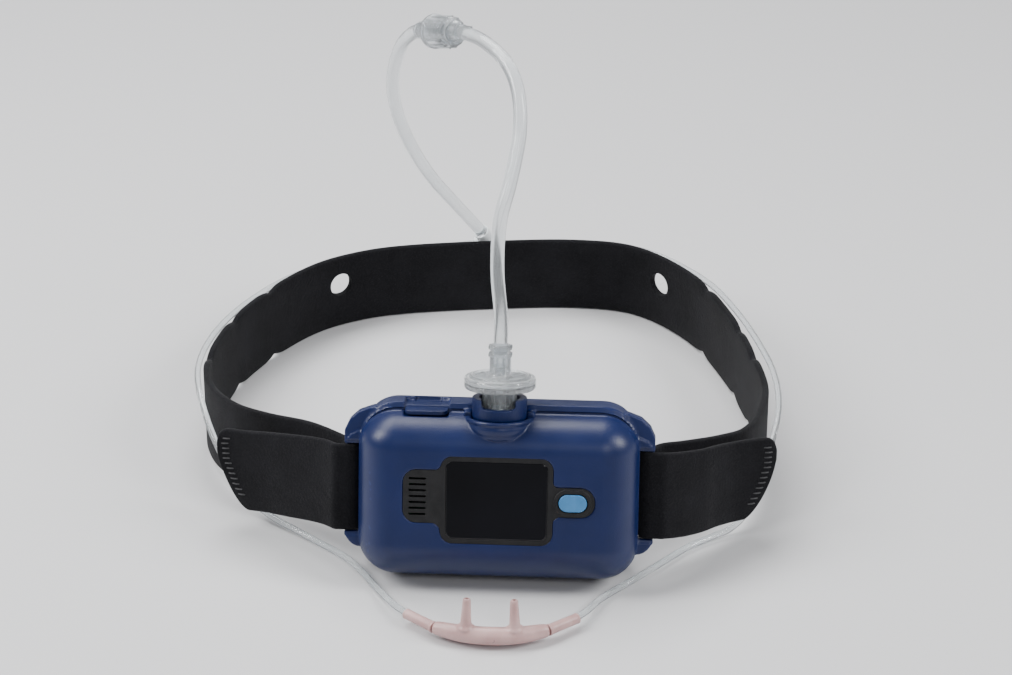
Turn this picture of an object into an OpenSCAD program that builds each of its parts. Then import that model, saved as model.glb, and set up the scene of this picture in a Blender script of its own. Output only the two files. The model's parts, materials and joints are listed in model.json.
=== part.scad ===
/* [Case] */
// Width of the case without its strap lugs
case_w = 90; // [84:1:110]
// Height of the case
case_h = 55; // [52:1:66]
// Depth of the front shell, which is also the radius of its rounded shoulders
front_d = 12; // [11:0.5:14]
// Depth of the back shell
back_d = 15.5; // [14:0.5:18]
// Rounding of the back shell's rear edge
back_edge_r = 6; // [4:0.5:7]
// Wall of both shells
wall = 2; // [1.6:0.1:2.6]
// How far the case leans back from upright, in degrees
case_lean = 16.6; // [0:0.2:20]
// Place of the case's centre across the ring of the strap
case_x = 9; // [6:0.5:12]
// Place of the case's centre from front to back
case_y = -86.2; // [-89:0.2:-84]

/* [Window] */
// Width of the display window
window_w = 36; // [28:0.5:38]
// Height of the display window
window_h = 28.5; // [24:0.5:30]
// Height of the black insert's arm over the microphone
mic_arm_h = 17.4; // [14:0.2:20]
// Height of the black insert's arm around the button
key_arm_h = 9.6; // [9.2:0.1:12]
// How far the arms reach from the centre
arm_reach = 31.4; // [29:0.5:33]
// Thickness of the black insert
bezel_t = 1.4; // [1.2:0.1:1.6]
// Thickness of the clear window pane
lens_t = 0.7; // [0.5:0.1:0.9]

/* [Button] */
// Width of the oval button
button_w = 9; // [7:0.2:10.8]
// Height of the oval button
button_h = 5.6; // [4.6:0.1:6]
// Travel of the button
button_travel = 0.6; // [0.4:0.1:0.8]

/* [Port] */
// Room between the filter's locking skirt and the port collar
collar_play = 1.2; // [0.8:0.1:2]
// Wall of the port collar
collar_wall = 2.3; // [1.8:0.1:3]
// How far the collar's rim stands over the case
collar_rise = 4.6; // [3:0.2:7]
// How far the boss under the collar stands out round it
boss_step = 1.4; // [1:0.1:2]
// Place of the port's axis behind the parting plane
port_y = -2; // [-3:0.2:-1.4]

/* [Filter] */
// Diameter of the filter's disc
disc_d = 23; // [18:0.5:28]
// Thickness of the filter's disc
disc_t = 3.8; // [3.2:0.1:5]
// Outer diameter of the locking skirt of the luer
lock_d = 10.6; // [10.4:0.1:12.8]
// Outer diameter of the luer hubs
hub_d = 6.7; // [6.4:0.1:7]
// Bore of the luer hubs
luer_bore_d = 4.24; // [4.1:0.02:4.4]
// Length of the hub over the disc
hub_l = 10.3; // [8:0.2:13]

/* [Strap] */
// Width of the strap
strap_w = 28.7; // [23:0.1:31]
// Thickness of the strap
strap_t = 2.4; // [1.6:0.1:3]
// Room on each face of the strap in the opening of its lug
slot_play = 0.35; // [0.3:0.05:0.6]
// Room at each edge of the strap in the opening of its lug
slot_room = 1.45; // [0.6:0.05:2]
// Width of the bar that the strap goes round
bar_w = 1.9; // [1.6:0.1:2.4]
// Thickness of the lugs, front to back
lug_t = 3; // [2.4:0.1:3.4]
// Radius of the rounded end of the strap tails
tail_end_r = 12; // [8:0.5:13]
// Diameter of the two eyelets at the back of the strap
eyelet_d = 9; // [6:0.5:12]

/* [Tubes] */
// Outer diameter of the loop tube
loop_d = 4.5; // [3.6:0.1:5]
// Outer diameter of the two thin cannula tubes
thin_d = 2.2; // [1.8:0.1:2.4]

/* [Inside] */
// Thickness of the circuit board
board_t = 1.6; // [1.2:0.1:2]
// Room at each end of the circuit board
board_room_x = 5; // [4:0.5:8]
// Room over and under the circuit board, together
board_room_z = 18; // [16:1:20]
// Width of the battery
battery_w = 38; // [30:1:42]
// Height of the battery
battery_h = 26; // [22:1:28]
// Thickness of the battery
battery_t = 5; // [4:0.5:6]

/* [Hidden] */

// Fits
gap = 0.3;          // between pieces that move past each other
seat_gap = 0.05;    // round a piece seated in another
pin_gap = 0.05;     // round a pin that turns

blue = "#22339a";
black = "#15161a";
clear = [0.88, 0.92, 0.96, 0.5];
fabric = "#1b1b1d";

half_w = case_w / 2;
half_h = case_h / 2;
board_w = case_w - 2 * wall - 2 * board_room_x;
board_h = case_h - 2 * wall - board_room_z;
collar_bore_d = lock_d + 2 * collar_play;
collar_d = collar_bore_d + 2 * collar_wall;
boss_d = collar_d + 2 * boss_step;
spigot_d = collar_d - 2.6;
slot_w = strap_t + 2 * slot_play;
slot_h = strap_w + 2 * slot_room;
// The case stands on its lower rear edge
case_z = back_edge_r + (half_h - back_edge_r) * cos(case_lean)
  + (back_d - back_edge_r) * sin(case_lean) + 0.02;
corner_x = half_w - front_d;
corner_z = half_h - front_d;
in_r = front_d - wall;
top_z = half_h;
board_y = 0.5;

// Places along the port's axis
collar_top = top_z + collar_rise;
boss_top = top_z - 2.9;
boss_low = boss_top - 8.2;
socket_low = boss_low + 1.6;
flange_t = 1.7;
spigot_low = socket_low + flange_t + 0.95;
socket_top = collar_top - 2;
disc_low = collar_top + 2.9;
disc_top = disc_low + disc_t;
disc_mid = disc_low + disc_t / 2;
hub_top = disc_top + hub_l;
lock_bore_d = lock_d - 2;
ear_d = lock_bore_d - 2 * gap;
stem_d = luer_bore_d - 0.12;

// Strap lugs
lug_y = 3;
bar_x = half_w + slot_w + bar_w / 2;
lug_reach = bar_x + bar_w / 2;
bar_in = bar_x - bar_w / 2;
fold_r = gap + strap_t / 2;
tail_x = lug_reach + 2.2;
tail_y = lug_y - fold_r;

// Nodes of the case are drawn in its own frame: Y is depth, 0 at the parting plane
module in_case() {
  translate([case_x, case_y, case_z]) rotate([-case_lean, 0, 0]) children();
}
function out_of_case(p) = [
  case_x + p[0],
  case_y + p[1] * cos(case_lean) + p[2] * sin(case_lean),
  case_z - p[1] * sin(case_lean) + p[2] * cos(case_lean)
];

// A flat shape drawn in X and Z, from depth y0 to y1
module slab(y0, y1) {
  translate([0, y1, 0]) rotate([90, 0, 0]) linear_extrude(y1 - y0) children();
}
module round_rect(w, h, r) {
  square([w - 2 * r, h], center = true);
  square([w, h - 2 * r], center = true);
  for (sx = [-1, 1], sz = [-1, 1])
    translate([sx * (w / 2 - r), sz * (h / 2 - r)]) circle(r, $fn = 48);
}
module oval(w, h) {
  square([w - h, h], center = true);
  for (s = [-1, 1]) translate([s * (w - h) / 2, 0]) circle(h / 2, $fn = 48);
}
module block(x0, x1, y0, y1, z0, z1) {
  translate([x0, y0, z0]) cube([x1 - x0, y1 - y0, z1 - z0]);
}
module port_at(z) {
  translate([0, port_y, z]) children();
}
module at_corners(x, z) {
  for (sx = [-1, 1], sz = [-1, 1]) translate([sx * x, 0, sz * z]) children();
}

// Smooth curve through a list of points, n steps in each span
function catmull(a, b, c, d, t) = 0.5 * (2 * b + (c - a) * t
  + (2 * a - 5 * b + 4 * c - d) * t * t + (3 * b - 3 * c + d - a) * t * t * t);
function smooth(p, n) = [
  for (i = [0 : len(p) - 2], j = [0 : n - 1])
    catmull(p[max(i - 1, 0)], p[i], p[i + 1], p[min(i + 2, len(p) - 1)], j / n),
  p[len(p) - 1]
];
function unit(v) = v / norm(v);
function xyz(p) = [p[0], p[1], p[2]];
function heading(p, i) =
  unit(xyz(p[min(i + 1, len(p) - 1)]) - xyz(p[max(i - 1, 0)]));
function run(p, i) = i == 0 ? 0 : run(p, i - 1) + norm(xyz(p[i]) - xyz(p[i - 1]));
function strip_faces(rings, sides) = concat(
  [for (k = [1 : sides - 2]) [0, k + 1, k]],
  [for (i = [0 : rings - 2], k = [0 : sides - 1])
    let (a = i * sides + k, b = i * sides + (k + 1) % sides) each
    [[a, b, b + sides], [a, b + sides, a + sides]]],
  [for (k = [1 : sides - 2]) let (e = (rings - 1) * sides) [e, e + k, e + k + 1]]
);

// Round tube swept along points; side is a direction that the route never takes
module tube(route, d, side, sides = 8) {
  rings = [for (i = [0 : len(route) - 1])
    let (t = heading(route, i), n = unit(cross(side, t)), b = cross(t, n))
    for (k = [0 : sides - 1])
      route[i] + d / 2 * (cos(360 * k / sides) * n + sin(360 * k / sides) * b)];
  polyhedron(rings, strip_faces(len(route), sides), convexity = 6);
}

// Flat strap swept along [x, y, z, lean]; each ring has its own half width
function strap_ring(p, i, t, half) =
  let (up = [0, sin(p[i][3]), cos(p[i][3])], n = unit(cross(heading(p, i), up)), c = xyz(p[i]))
  [c - n * t / 2 - up * half, c + n * t / 2 - up * half,
   c + n * t / 2 + up * half, c - n * t / 2 + up * half];
module strap(p, t, halves) {
  points = [for (i = [0 : len(p) - 1]) each strap_ring(p, i, t, halves[i])];
  polyhedron(points, strip_faces(len(p), 4), convexity = 6);
}

// Routes, in millimetres
lock_start = [-7.5, -9, 157];
lock_end = [-23, 11, 149.5];
lock_turn = unit(lock_end - lock_start);
junction_at = [-6, 106, 24.5];
junction_mouth = [-9, 102.5, 31];
junction_up = unit(junction_mouth - junction_at);
front_route = [
  out_of_case([0, port_y, hub_top + 0.02]), out_of_case([0, port_y, hub_top + 9]),
  [7.5, -66, 99], [8, -60, 113.5], [11, -54, 125], [13.5, -46, 138.5],
  [12.5, -38, 149], [8, -29, 155.5], [0, -19, 158.5],
  lock_start - 1.5 * lock_turn, lock_start - 0.05 * lock_turn
];
back_route = concat([lock_end + 0.05 * lock_turn], smooth([
  lock_end + 1.5 * lock_turn, [-30, 22, 140], [-34.5, 34, 124], [-35, 46, 106],
  [-31.5, 60, 86], [-25.5, 74, 67], [-17.5, 88.5, 49], junction_mouth + 1.5 * junction_up
], 2), [junction_mouth + 0.05 * junction_up]);
nose_z = 3.6;
nose_d = 6.2;
nose_line = [[-9, -127, nose_z], [0, -130, nose_z], [9, -131, nose_z], [18, -130, nose_z],
             [27, -126.5, nose_z]];
sleeve_left = [-18.5, -119, 3.2];
sleeve_right = [36, -118.5, 3.2];
nose_left = unit(nose_line[0] - sleeve_left);
nose_right = unit(nose_line[4] - sleeve_right);
left_route = concat([sleeve_left - 0.05 * nose_left], smooth([
  sleeve_left - 1.2 * nose_left, [-28.5, -103.5, 1.3], [-40, -85.5, 1.2], [-58.5, -69, 1.2],
  [-74, -57, 3.5], [-88, -43, 15], [-98, -22, 26], [-101.5, 2, 27.5], [-97, 31, 27],
  [-86, 58, 26], [-71.5, 78.5, 25], [-50, 92.5, 24.5], [-28, 99, 24.3], [-13.2, 106, 24.5]
], 2), [[-12.05, 106, 24.5]]);
right_route = concat([sleeve_right - 0.05 * nose_right], smooth([
  sleeve_right - 1.2 * nose_right, [43, -104, 1.3], [55, -90, 1.2], [71.5, -70.5, 1.3], [87, -58.5, 2.8],
  [93.5, -50.5, 11], [98, -40, 22.5], [101, -22, 27.5], [100, 2, 27.5], [95, 26, 27], [87, 53, 26],
  [75.5, 79, 25], [53, 102.5, 24.5], [26, 106.5, 24.3], [1.2, 106, 24.5]
], 2), [[0.05, 106, 24.5]]);

// The strap's centreline as [x, y, z, lean]
function on_case(x, y) = let (p = out_of_case([x, y, 0])) [p[0], p[1], p[2], case_lean];
low_z = strap_w / 2 + 0.15;
// The strap's points were laid out for a case of this width, and move out with a wider one
laid_out_w = 90;
function spread(p) = [p[0] + (p[0] < 0 ? -1 : 1) * (case_w - laid_out_w) / 2, p[1], p[2], p[3]];
ring_route = [for (p = [
  [-43.5, -73.5, 26, 16], [-55.5, -62, 24, 14], [-70.5, -52, 21.4, 10],
  [-83.5, -39.8, 18.6, 6], [-94, -22, 16, 3], [-98.3, 0, low_z, 0], [-94, 29, low_z, 0],
  [-83.5, 54.5, low_z, 0], [-70, 74.5, low_z, 0], [-55, 86, low_z, 0],
  [-37, 93, low_z, 0], [-6, 98.5, low_z, 0], [27, 101.5, low_z, 0], [51, 96.5, low_z, 0],
  [71.5, 75, low_z, 0], [84, 47, low_z, 0], [91.5, 20, low_z, 0], [96.5, -8, 15, 1],
  [94.5, -31, 17, 5], [89, -49.5, 19.8, 9], [80.5, -60, 22.3, 12], [69.5, -68.2, 24.4, 15],
  [61.5, -73.5, 26, 16]
]) spread(p)];
left_tail_route = [for (p = [
  [-48, -80.9, 28.1, 16], [-53.5, -76.7, 26.7, 15], [-62, -70.8, 24.2, 12],
  [-69, -66, 22.2, 9], [-76, -62.3, 20.5, 7], [-82.4, -59.3, 19.5, 6], [-86.5, -58.5, 19, 6]
]) spread(p)];
right_tail_route = [for (p = [
  [65.5, -82.3, 27.8, 16], [70, -78.6, 26.4, 15], [75, -73.5, 24.7, 12],
  [79.5, -67.6, 23, 10], [84.8, -62, 21.3, 8], [91, -57.8, 20.3, 7], [99, -54, 19.3, 6]
]) spread(p)];

// Case shells

module half_disc(r) {
  intersection() {
    circle(r, $fn = 64);
    translate([-r - 1, 0]) square([2 * r + 2, r + 1]);
  }
}
module front_form(inset) {
  r = front_d - inset;
  slab(-r, 0) square([2 * corner_x, 2 * corner_z], center = true);
  at_corners(corner_x, corner_z) rotate([90, 0, 0]) rotate_extrude($fn = 64) intersection() {
    circle(r, $fn = 64);
    square(r + 1);
  }
  for (sz = [-1, 1]) translate([-corner_x, 0, sz * corner_z]) rotate([90, 0, 90])
    linear_extrude(2 * corner_x) rotate(90) half_disc(r);
  for (sx = [-1, 1]) translate([sx * corner_x, 0, -corner_z])
    linear_extrude(2 * corner_z) rotate(180) half_disc(r);
}
module back_form() {
  r = back_edge_r;
  ring = front_d - r;
  y = back_d - r;
  slab(0, y) round_rect(case_w, case_h, front_d);
  slab(y - 0.5, back_d) round_rect(case_w - 2 * r, case_h - 2 * r, ring);
  at_corners(corner_x, corner_z) translate([0, y, 0]) rotate([90, 0, 0])
    rotate_extrude($fn = 64) translate([ring, 0]) circle(r, $fn = 48);
  for (sz = [-1, 1]) translate([0, y, sz * (half_h - r)]) rotate([0, 90, 0])
    cylinder(h = 2 * corner_x, r = r, center = true, $fn = 48);
  for (sx = [-1, 1]) translate([sx * (half_w - r), y, 0])
    cylinder(h = 2 * corner_z, r = r, center = true, $fn = 48);
}

screw_x = half_w - 7;
screw_z = half_h - 7;
screw_r = 1;
screw_head_r = 1.9;
screw_floor = back_d - 3.5;
post_r = 2.6;

// The insert's outline: a window with an arm on each side, met by S-shaped steps
window_r = 4;
mic_reach = arm_reach - 1.4;
module arm_step(edge, hollow_r, grow) {
  r = window_r + grow;
  hollow = hollow_r - grow;
  corner = [window_w / 2 - window_r, window_h / 2 - window_r];
  z = edge + grow + hollow;
  x = corner[0] + (z > corner[1] ? sqrt((r + hollow) ^ 2 - (z - corner[1]) ^ 2) : r + hollow);
  meet = z > corner[1] ? corner + r / (r + hollow) * ([x, z] - corner) : [corner[0] + r, z];
  difference() {
    polygon([[corner[0], edge - 1], [x, edge - 1], [x, edge + grow], meet, [corner[0], meet[1]]]);
    translate([x, z]) circle(hollow, $fn = 48);
  }
}
module arms(grow) {
  round_rect(window_w + 2 * grow, window_h + 2 * grow, window_r + grow);
  translate([-mic_reach / 2, mic_z])
    round_rect(mic_reach + 2 * grow, mic_arm_h + 2 * grow, 4.3 + grow);
  translate([arm_reach / 2, key_z])
    round_rect(arm_reach + 2 * grow, key_arm_h + 2 * grow, key_arm_h / 2 - 0.2 + grow);
  mirror([1, 0]) arm_step(mic_z + mic_arm_h / 2, 2, grow);
  mirror([1, 0]) mirror([0, 1]) arm_step(mic_arm_h / 2 - mic_z, 2.8, grow);
  arm_step(key_z + key_arm_h / 2, 1.7, grow);
  mirror([0, 1]) arm_step(key_arm_h / 2 - key_z, 2.4, grow);
}
key_x = 24.4;
key_z = 0.2;
mic_x = -25.4;
mic_z = 1;
view_w = window_w - 6;
view_h = window_h - 5;
pane_w = window_w - 3.4;
pane_h = window_h - 3;
flange_over = 0.9;

door_x = -23.5;
door_w = 13.8;
door_t = 1.3;
door_front = -4.2;
door_back = 8.6;
door_low = top_z - 0.75;
hinge_y = 8.2;
hinge_z = door_low + 0.3;
hinge_r = 1.05;
hinge_pin_r = 0.5;
knuckle_w = 8;

module door_recess() {
  block(door_x - door_w / 2 - gap, door_x + door_w / 2 + gap,
        door_front - gap, hinge_y, door_low - gap, top_z + 2);
  translate([door_x, hinge_y, hinge_z]) rotate([0, 90, 0])
    cylinder(h = knuckle_w + 2 * gap, r = hinge_r + gap, center = true, $fn = 48);
  block(door_x - knuckle_w / 2 - gap, door_x + knuckle_w / 2 + gap,
        hinge_y, hinge_y + hinge_r + gap, hinge_z, top_z + 2);
}

module front_shell() {
  color(blue) in_case() difference() {
    union() {
      difference() {
        front_form(0);
        front_form(wall);
      }
      intersection() {
        port_at(0) {
          translate([0, 0, boss_low]) cylinder(h = boss_top - boss_low, d = boss_d, $fn = 96);
        }
        port_at(boss_top - 3.7) {
          sphere(d = boss_d, $fn = 96);
          cylinder(h = 4, d = boss_d, $fn = 96);
        }
      }
      for (sx = [-1, 1], sz = [-1, 1]) translate([sx * screw_x, 0, sz * screw_z])
        rotate([90, 0, 0]) cylinder(h = 6.4, r = post_r, $fn = 48);
    }
    slab(-front_d - 1, -front_d + bezel_t) arms(seat_gap);
    slab(-front_d - 1, -front_d + wall + 1)
      round_rect(window_w - 5, window_h - 4, 2);
    translate([key_x, 0, key_z]) slab(-front_d - 1, -front_d + wall + 1)
      oval(button_w + 2 * flange_over + 2 * gap, button_h + 2 * flange_over + 2 * gap);
    translate([mic_x, 0, mic_z]) slab(-front_d - 1, -front_d + wall + 1)
      round_rect(6, 13, 1);
    port_at(socket_low) cylinder(h = 30, d = spigot_d + 2 * seat_gap, $fn = 96);
    port_at(boss_top) cylinder(h = 30, d = collar_d + 0.3, $fn = 96);
    port_at(boss_low - 2) cylinder(h = 12, d = 9.6, $fn = 64);
    for (sx = [-1, 1], sz = [-1, 1]) translate([sx * screw_x, 1, sz * screw_z])
      rotate([90, 0, 0]) cylinder(h = 6.2, r = screw_r + 0.04, $fn = 32);
    door_recess();
  }
}

module lug_shape() {
  lug_h = slot_h + 7;
  difference() {
    translate([0, -0.5]) round_rect(2 * lug_reach, lug_h, 5.5);
    square([2 * (lug_reach - bar_w), slot_h], center = true);
  }
}
module back_shell() {
  color(blue) in_case() difference() {
    union() {
      difference() {
        back_form();
        slab(-1, back_d - 5) round_rect(case_w - 2 * wall, case_h - 2 * wall, in_r);
        slab(0, back_d - wall)
          round_rect(case_w - 2 * wall - 5, case_h - 2 * wall - 5, in_r - 2.5);
      }
      difference() {
        union() {
          slab(lug_y, lug_y + lug_t) lug_shape();
          slab(0.5, lug_y + 0.5) difference() {
            lug_shape();
            square([4 * half_w, slot_h], center = true);
          }
        }
        slab(-1, back_d - wall) round_rect(case_w - 1, case_h - 1, front_d - 0.5);
      }
      for (sx = [-1, 1], sz = [-1, 1]) translate([sx * screw_x, back_d - 2, sz * screw_z])
        rotate([90, 0, 0]) cylinder(h = back_d - 2, r = post_r + 0.6, $fn = 48);
      block(door_x - 7.6, door_x + 7.6, 1, hinge_y + 3, door_low - 2.4, top_z - 0.6);
    }
    slab(-1, 0) square([2 * case_w, 2 * case_h], center = true);
    for (sx = [-1, 1], sz = [-1, 1]) translate([sx * screw_x, 0, sz * screw_z]) {
      rotate([-90, 0, 0]) cylinder(h = 40, r = screw_r + 0.1, $fn = 32);
      translate([0, screw_floor, 0]) rotate([-90, 0, 0])
        cylinder(h = 20, r = screw_head_r + 0.2, $fn = 32);
    }
    port_at(boss_low - 6) cylinder(h = 40, d = boss_d + 0.4, $fn = 96);
    slab(-1, 0.85) gasket_ring(0.9);
    door_recess();
    block(door_x - 4.4, door_x + 4.4, 1.9, 6.3, 10, top_z + 1);
    translate([door_x, hinge_y, hinge_z]) rotate([0, 90, 0])
      cylinder(h = knuckle_w + 5, r = hinge_pin_r + 0.01, center = true, $fn = 32);
    translate([18, 0, 0]) slab(back_d - wall - 4, back_d + 1) circle(7.05, $fn = 64);
    translate([18, 0, 0]) slab(back_d - 1.5, back_d + 1) circle(8.05, $fn = 64);
  }
}
module gasket_ring(w) {
  edge = 1 - w / 2;
  difference() {
    round_rect(case_w - 2 * edge, case_h - 2 * edge, front_d - edge);
    round_rect(case_w - 2 * edge - 2 * w, case_h - 2 * edge - 2 * w, front_d - edge - w);
  }
}
module case_gasket() {
  color("#2c2f36") in_case() difference() {
    slab(0.05, 0.8) gasket_ring(0.8);
    port_at(0) cylinder(h = 60, d = boss_d + 0.8, $fn = 96);
    block(door_x - door_w / 2 - 0.6, door_x + door_w / 2 + 0.6, -1, 2, door_low - 0.6, 60);
  }
}
module case_screws() {
  color("silver") in_case() for (sx = [-1, 1], sz = [-1, 1])
    translate([sx * screw_x, 0, sz * screw_z]) rotate([-90, 0, 0]) {
      translate([0, 0, -4.8]) cylinder(h = screw_floor + 4.9, r = screw_r, $fn = 32);
      difference() {
        translate([0, 0, screw_floor]) cylinder(h = 1.4, r = screw_head_r, $fn = 32);
        translate([0, 0, screw_floor + 0.6]) cylinder(h = 1, r = 0.9, $fn = 6);
      }
    }
}

// Window insert, display and button

module window_bezel() {
  color(black) in_case() difference() {
    union() {
      slab(-front_d + 0.02, -front_d + bezel_t) arms(0);
      translate([key_x, 0, key_z]) slab(-front_d - 0.7, -front_d + 0.5)
        oval(button_w + 3, button_h + 3);
    }
    slab(-front_d - 2, -front_d + lens_t) round_rect(pane_w, pane_h, 2.2);
    slab(-front_d - 2, -front_d + 5) round_rect(view_w, view_h, 1.5);
    translate([key_x, 0, key_z]) slab(-front_d - 2, -front_d + 5)
      oval(button_w + 2 * gap, button_h + 2 * gap);
    for (i = [-3 : 3]) translate([mic_x, 0, mic_z + i * 1.95])
      slab(-front_d - 2, -front_d + 5) oval(5.6, 0.7);
  }
}
module display_lens() {
  color([0.12, 0.13, 0.16, 0.8]) in_case() slab(-front_d + 0.04, -front_d + lens_t)
    round_rect(pane_w - 2 * seat_gap, pane_h - 2 * seat_gap, 2.2 - seat_gap);
}
module display_module() {
  color("#30353c") in_case() slab(-front_d + wall + 0.6, -front_d + wall + 2.4)
    round_rect(window_w - 1, window_h - 1.5, 0.6);
}
module display_flex() {
  color("#b5742a") in_case() {
    block(-6, 6, -front_d + wall + 2.45, -front_d + wall + 2.65, -12, 2);
    block(-6, 6, -front_d + wall + 2.65, board_y - 1.25, -12, -11.8);
    block(-7, 7, board_y - 1.25, board_y - 0.05, -13.6, -10);
  }
}
module power_button() {
  color("#8ea4d6") in_case() translate([key_x, 0, key_z]) {
    slab(-front_d - 1, -front_d + bezel_t + 0.35) oval(button_w, button_h);
    slab(-front_d + bezel_t + 0.35, -front_d + bezel_t + 1.15)
      oval(button_w + 2 * flange_over, button_h + 2 * flange_over);
    translate([0, -front_d + bezel_t + 1.1, 0]) rotate([-90, 0, 0])
      cylinder(h = 4.6, d = 3.2, $fn = 48);
  }
}
stem_end = -front_d + bezel_t + 1.1 + 4.6;
module tact_switch() {
  color("#d8d8d4") in_case() translate([key_x, 0, key_z]) {
    block(-3, 3, board_y - 3.4, board_y - 0.05, -3, 3);
    rotate([90, 0, 0]) translate([0, 0, 3.3 - board_y])
      cylinder(h = -stem_end - button_travel - gap - 3.3 + board_y, d = 3, $fn = 48);
  }
}
module microphone() {
  color("#9a9ca0") in_case() translate([mic_x, -front_d + wall + 1.7, mic_z])
    rotate([-90, 0, 0]) cylinder(h = 2.2, d = 6, $fn = 48);
}
module microphone_foam() {
  color("#3a3a3a") in_case() translate([mic_x, -front_d + wall + 0.55, mic_z])
    rotate([-90, 0, 0]) cylinder(h = 1.1, d = 6, $fn = 48);
}

// Electronics

module main_board() {
  color("#0f5132") in_case() difference() {
    translate([0, 0, -4]) slab(board_y, board_y + board_t)
      round_rect(board_w, board_h, 2);
    for (sx = [-1, 1]) translate([sx * screw_x, board_y - 1, -screw_z])
      rotate([-90, 0, 0]) cylinder(h = 5, r = post_r + 1, $fn = 48);
  }
}
board_back = board_y + board_t + 0.05;
module board_chips() {
  color("#222222") in_case() {
    block(-20, -12, board_y - 1.1, board_y - 0.05, -10, -2);
    block(8, 15, board_y - 1.1, board_y - 0.05, -17, -11);
    block(-34, -28, board_y - 1.3, board_y - 0.05, -16, -11);
    block(10, 16, board_y - 1.2, board_y - 0.05, 3, 8);
    for (i = [0 : 4]) block(20 + 3 * i, 21.6 + 3 * i, board_y - 0.9, board_y - 0.05, -16, -15.2);
    for (i = [0 : 3]) block(-33 + 3 * i, -31.4 + 3 * i, board_y - 0.9, board_y - 0.05, 7, 7.8);
  }
}
module memory_card() {
  color("#3b3f46") in_case() {
    block(18, 30, board_back, board_back + 1.4, -19, -8);
  }
}
module buzzer() {
  color("#2a2a2a") in_case() translate([33, board_y - 0.05, 3]) rotate([90, 0, 0])
    cylinder(h = 2.6, d = 7, $fn = 48);
}
nozzle_top = 12.5;
module pressure_sensor() {
  color("#e6e4dc") in_case() difference() {
    union() {
      block(-5, 5, board_y - 5, board_y - 0.05, 1, 7.5);
      port_at(7.4) cylinder(h = nozzle_top - 7.4, d = 2.6, $fn = 32);
    }
    port_at(5) cylinder(h = 20, d = 1.2, $fn = 24);
  }
}
module sensor_hose() {
  color("#d9d4c8") in_case() difference() {
    port_at(8.4) cylinder(h = socket_low - 0.05 - 8.4, d = 4.4, $fn = 48);
    port_at(8) cylinder(h = 20, d = 2.7, $fn = 48);
  }
}
battery_x = -15.5;
battery_z = -7;
module battery() {
  color("#b9bec6") in_case() translate([battery_x, 0, battery_z])
    slab(board_back + 0.3, board_back + 0.3 + battery_t) round_rect(battery_w, battery_h, 1.5);
}
module battery_leads() {
  color("#b3261e") in_case() {
    for (i = [0, 1]) translate([battery_x + battery_w / 2 + 0.1, board_back + 1.6, i * 2.4 - 6])
      rotate([0, 90, 0]) cylinder(h = 5, d = 1, $fn = 16);
    block(battery_x + battery_w / 2 + 5.1, battery_x + battery_w / 2 + 9,
          board_back, board_back + 3, -8, -1.5);
  }
}
module usb_socket() {
  color("#c9ccd1") in_case() difference() {
    block(door_x - 3.9, door_x + 3.9, board_back, board_back + 3.9, 8, top_z - 2.6);
    block(door_x - 3.4, door_x + 3.4, board_back + 0.5, board_back + 3.4, 13, top_z);
    block(door_x - 4, door_x + 4, board_back - 1, board_back + 0.0, 12, top_z);
  }
}
module port_door() {
  color(blue) in_case() {
    block(door_x - door_w / 2, door_x + door_w / 2, door_front, hinge_y - hinge_r - 1,
          door_low, door_low + door_t);
    block(door_x - knuckle_w / 2, door_x + knuckle_w / 2, hinge_y - hinge_r - 1.2,
          hinge_y - hinge_pin_r - pin_gap - 0.2, door_low, hinge_z + hinge_r - 0.1);
    translate([door_x, hinge_y, hinge_z]) rotate([0, 90, 0]) difference() {
      cylinder(h = knuckle_w, r = hinge_r, center = true, $fn = 48);
      cylinder(h = knuckle_w + 1, r = hinge_pin_r + pin_gap, center = true, $fn = 48);
    }
  }
}
module door_pin() {
  color("silver") in_case() translate([door_x, hinge_y, hinge_z]) rotate([0, 90, 0])
    cylinder(h = knuckle_w + 4.4, r = hinge_pin_r, center = true, $fn = 32);
}

// Back of the case

module pulse_sensor_window() {
  color([0.45, 0.02, 0.04, 0.8]) in_case() translate([18, 0, 0]) {
    slab(back_d - 1.45, back_d + 0.4) circle(8, $fn = 64);
    slab(back_d - 2.6, back_d - 1.45) circle(7, $fn = 64);
  }
}
module pulse_sensor_board() {
  color("#0f5132") in_case() translate([18, 0, 0]) {
    slab(back_d - 4.4, back_d - 3.4) circle(6.4, $fn = 48);
    for (x = [-2.6, 2.6]) translate([x, 0, 0]) slab(back_d - 3.4, back_d - 2.7)
      square([2.2, 2.2], center = true);
  }
}
module pad(x) {
  color("#3a3b40") in_case() translate([x, 0, 0])
    slab(back_d + 0.05, back_d + 2.2) round_rect(11, 30, 4);
}
module forehead_pad_left() {
  pad(-27);
}
module forehead_pad_right() {
  pad(33);
}

// Port, filter and loop

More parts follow.
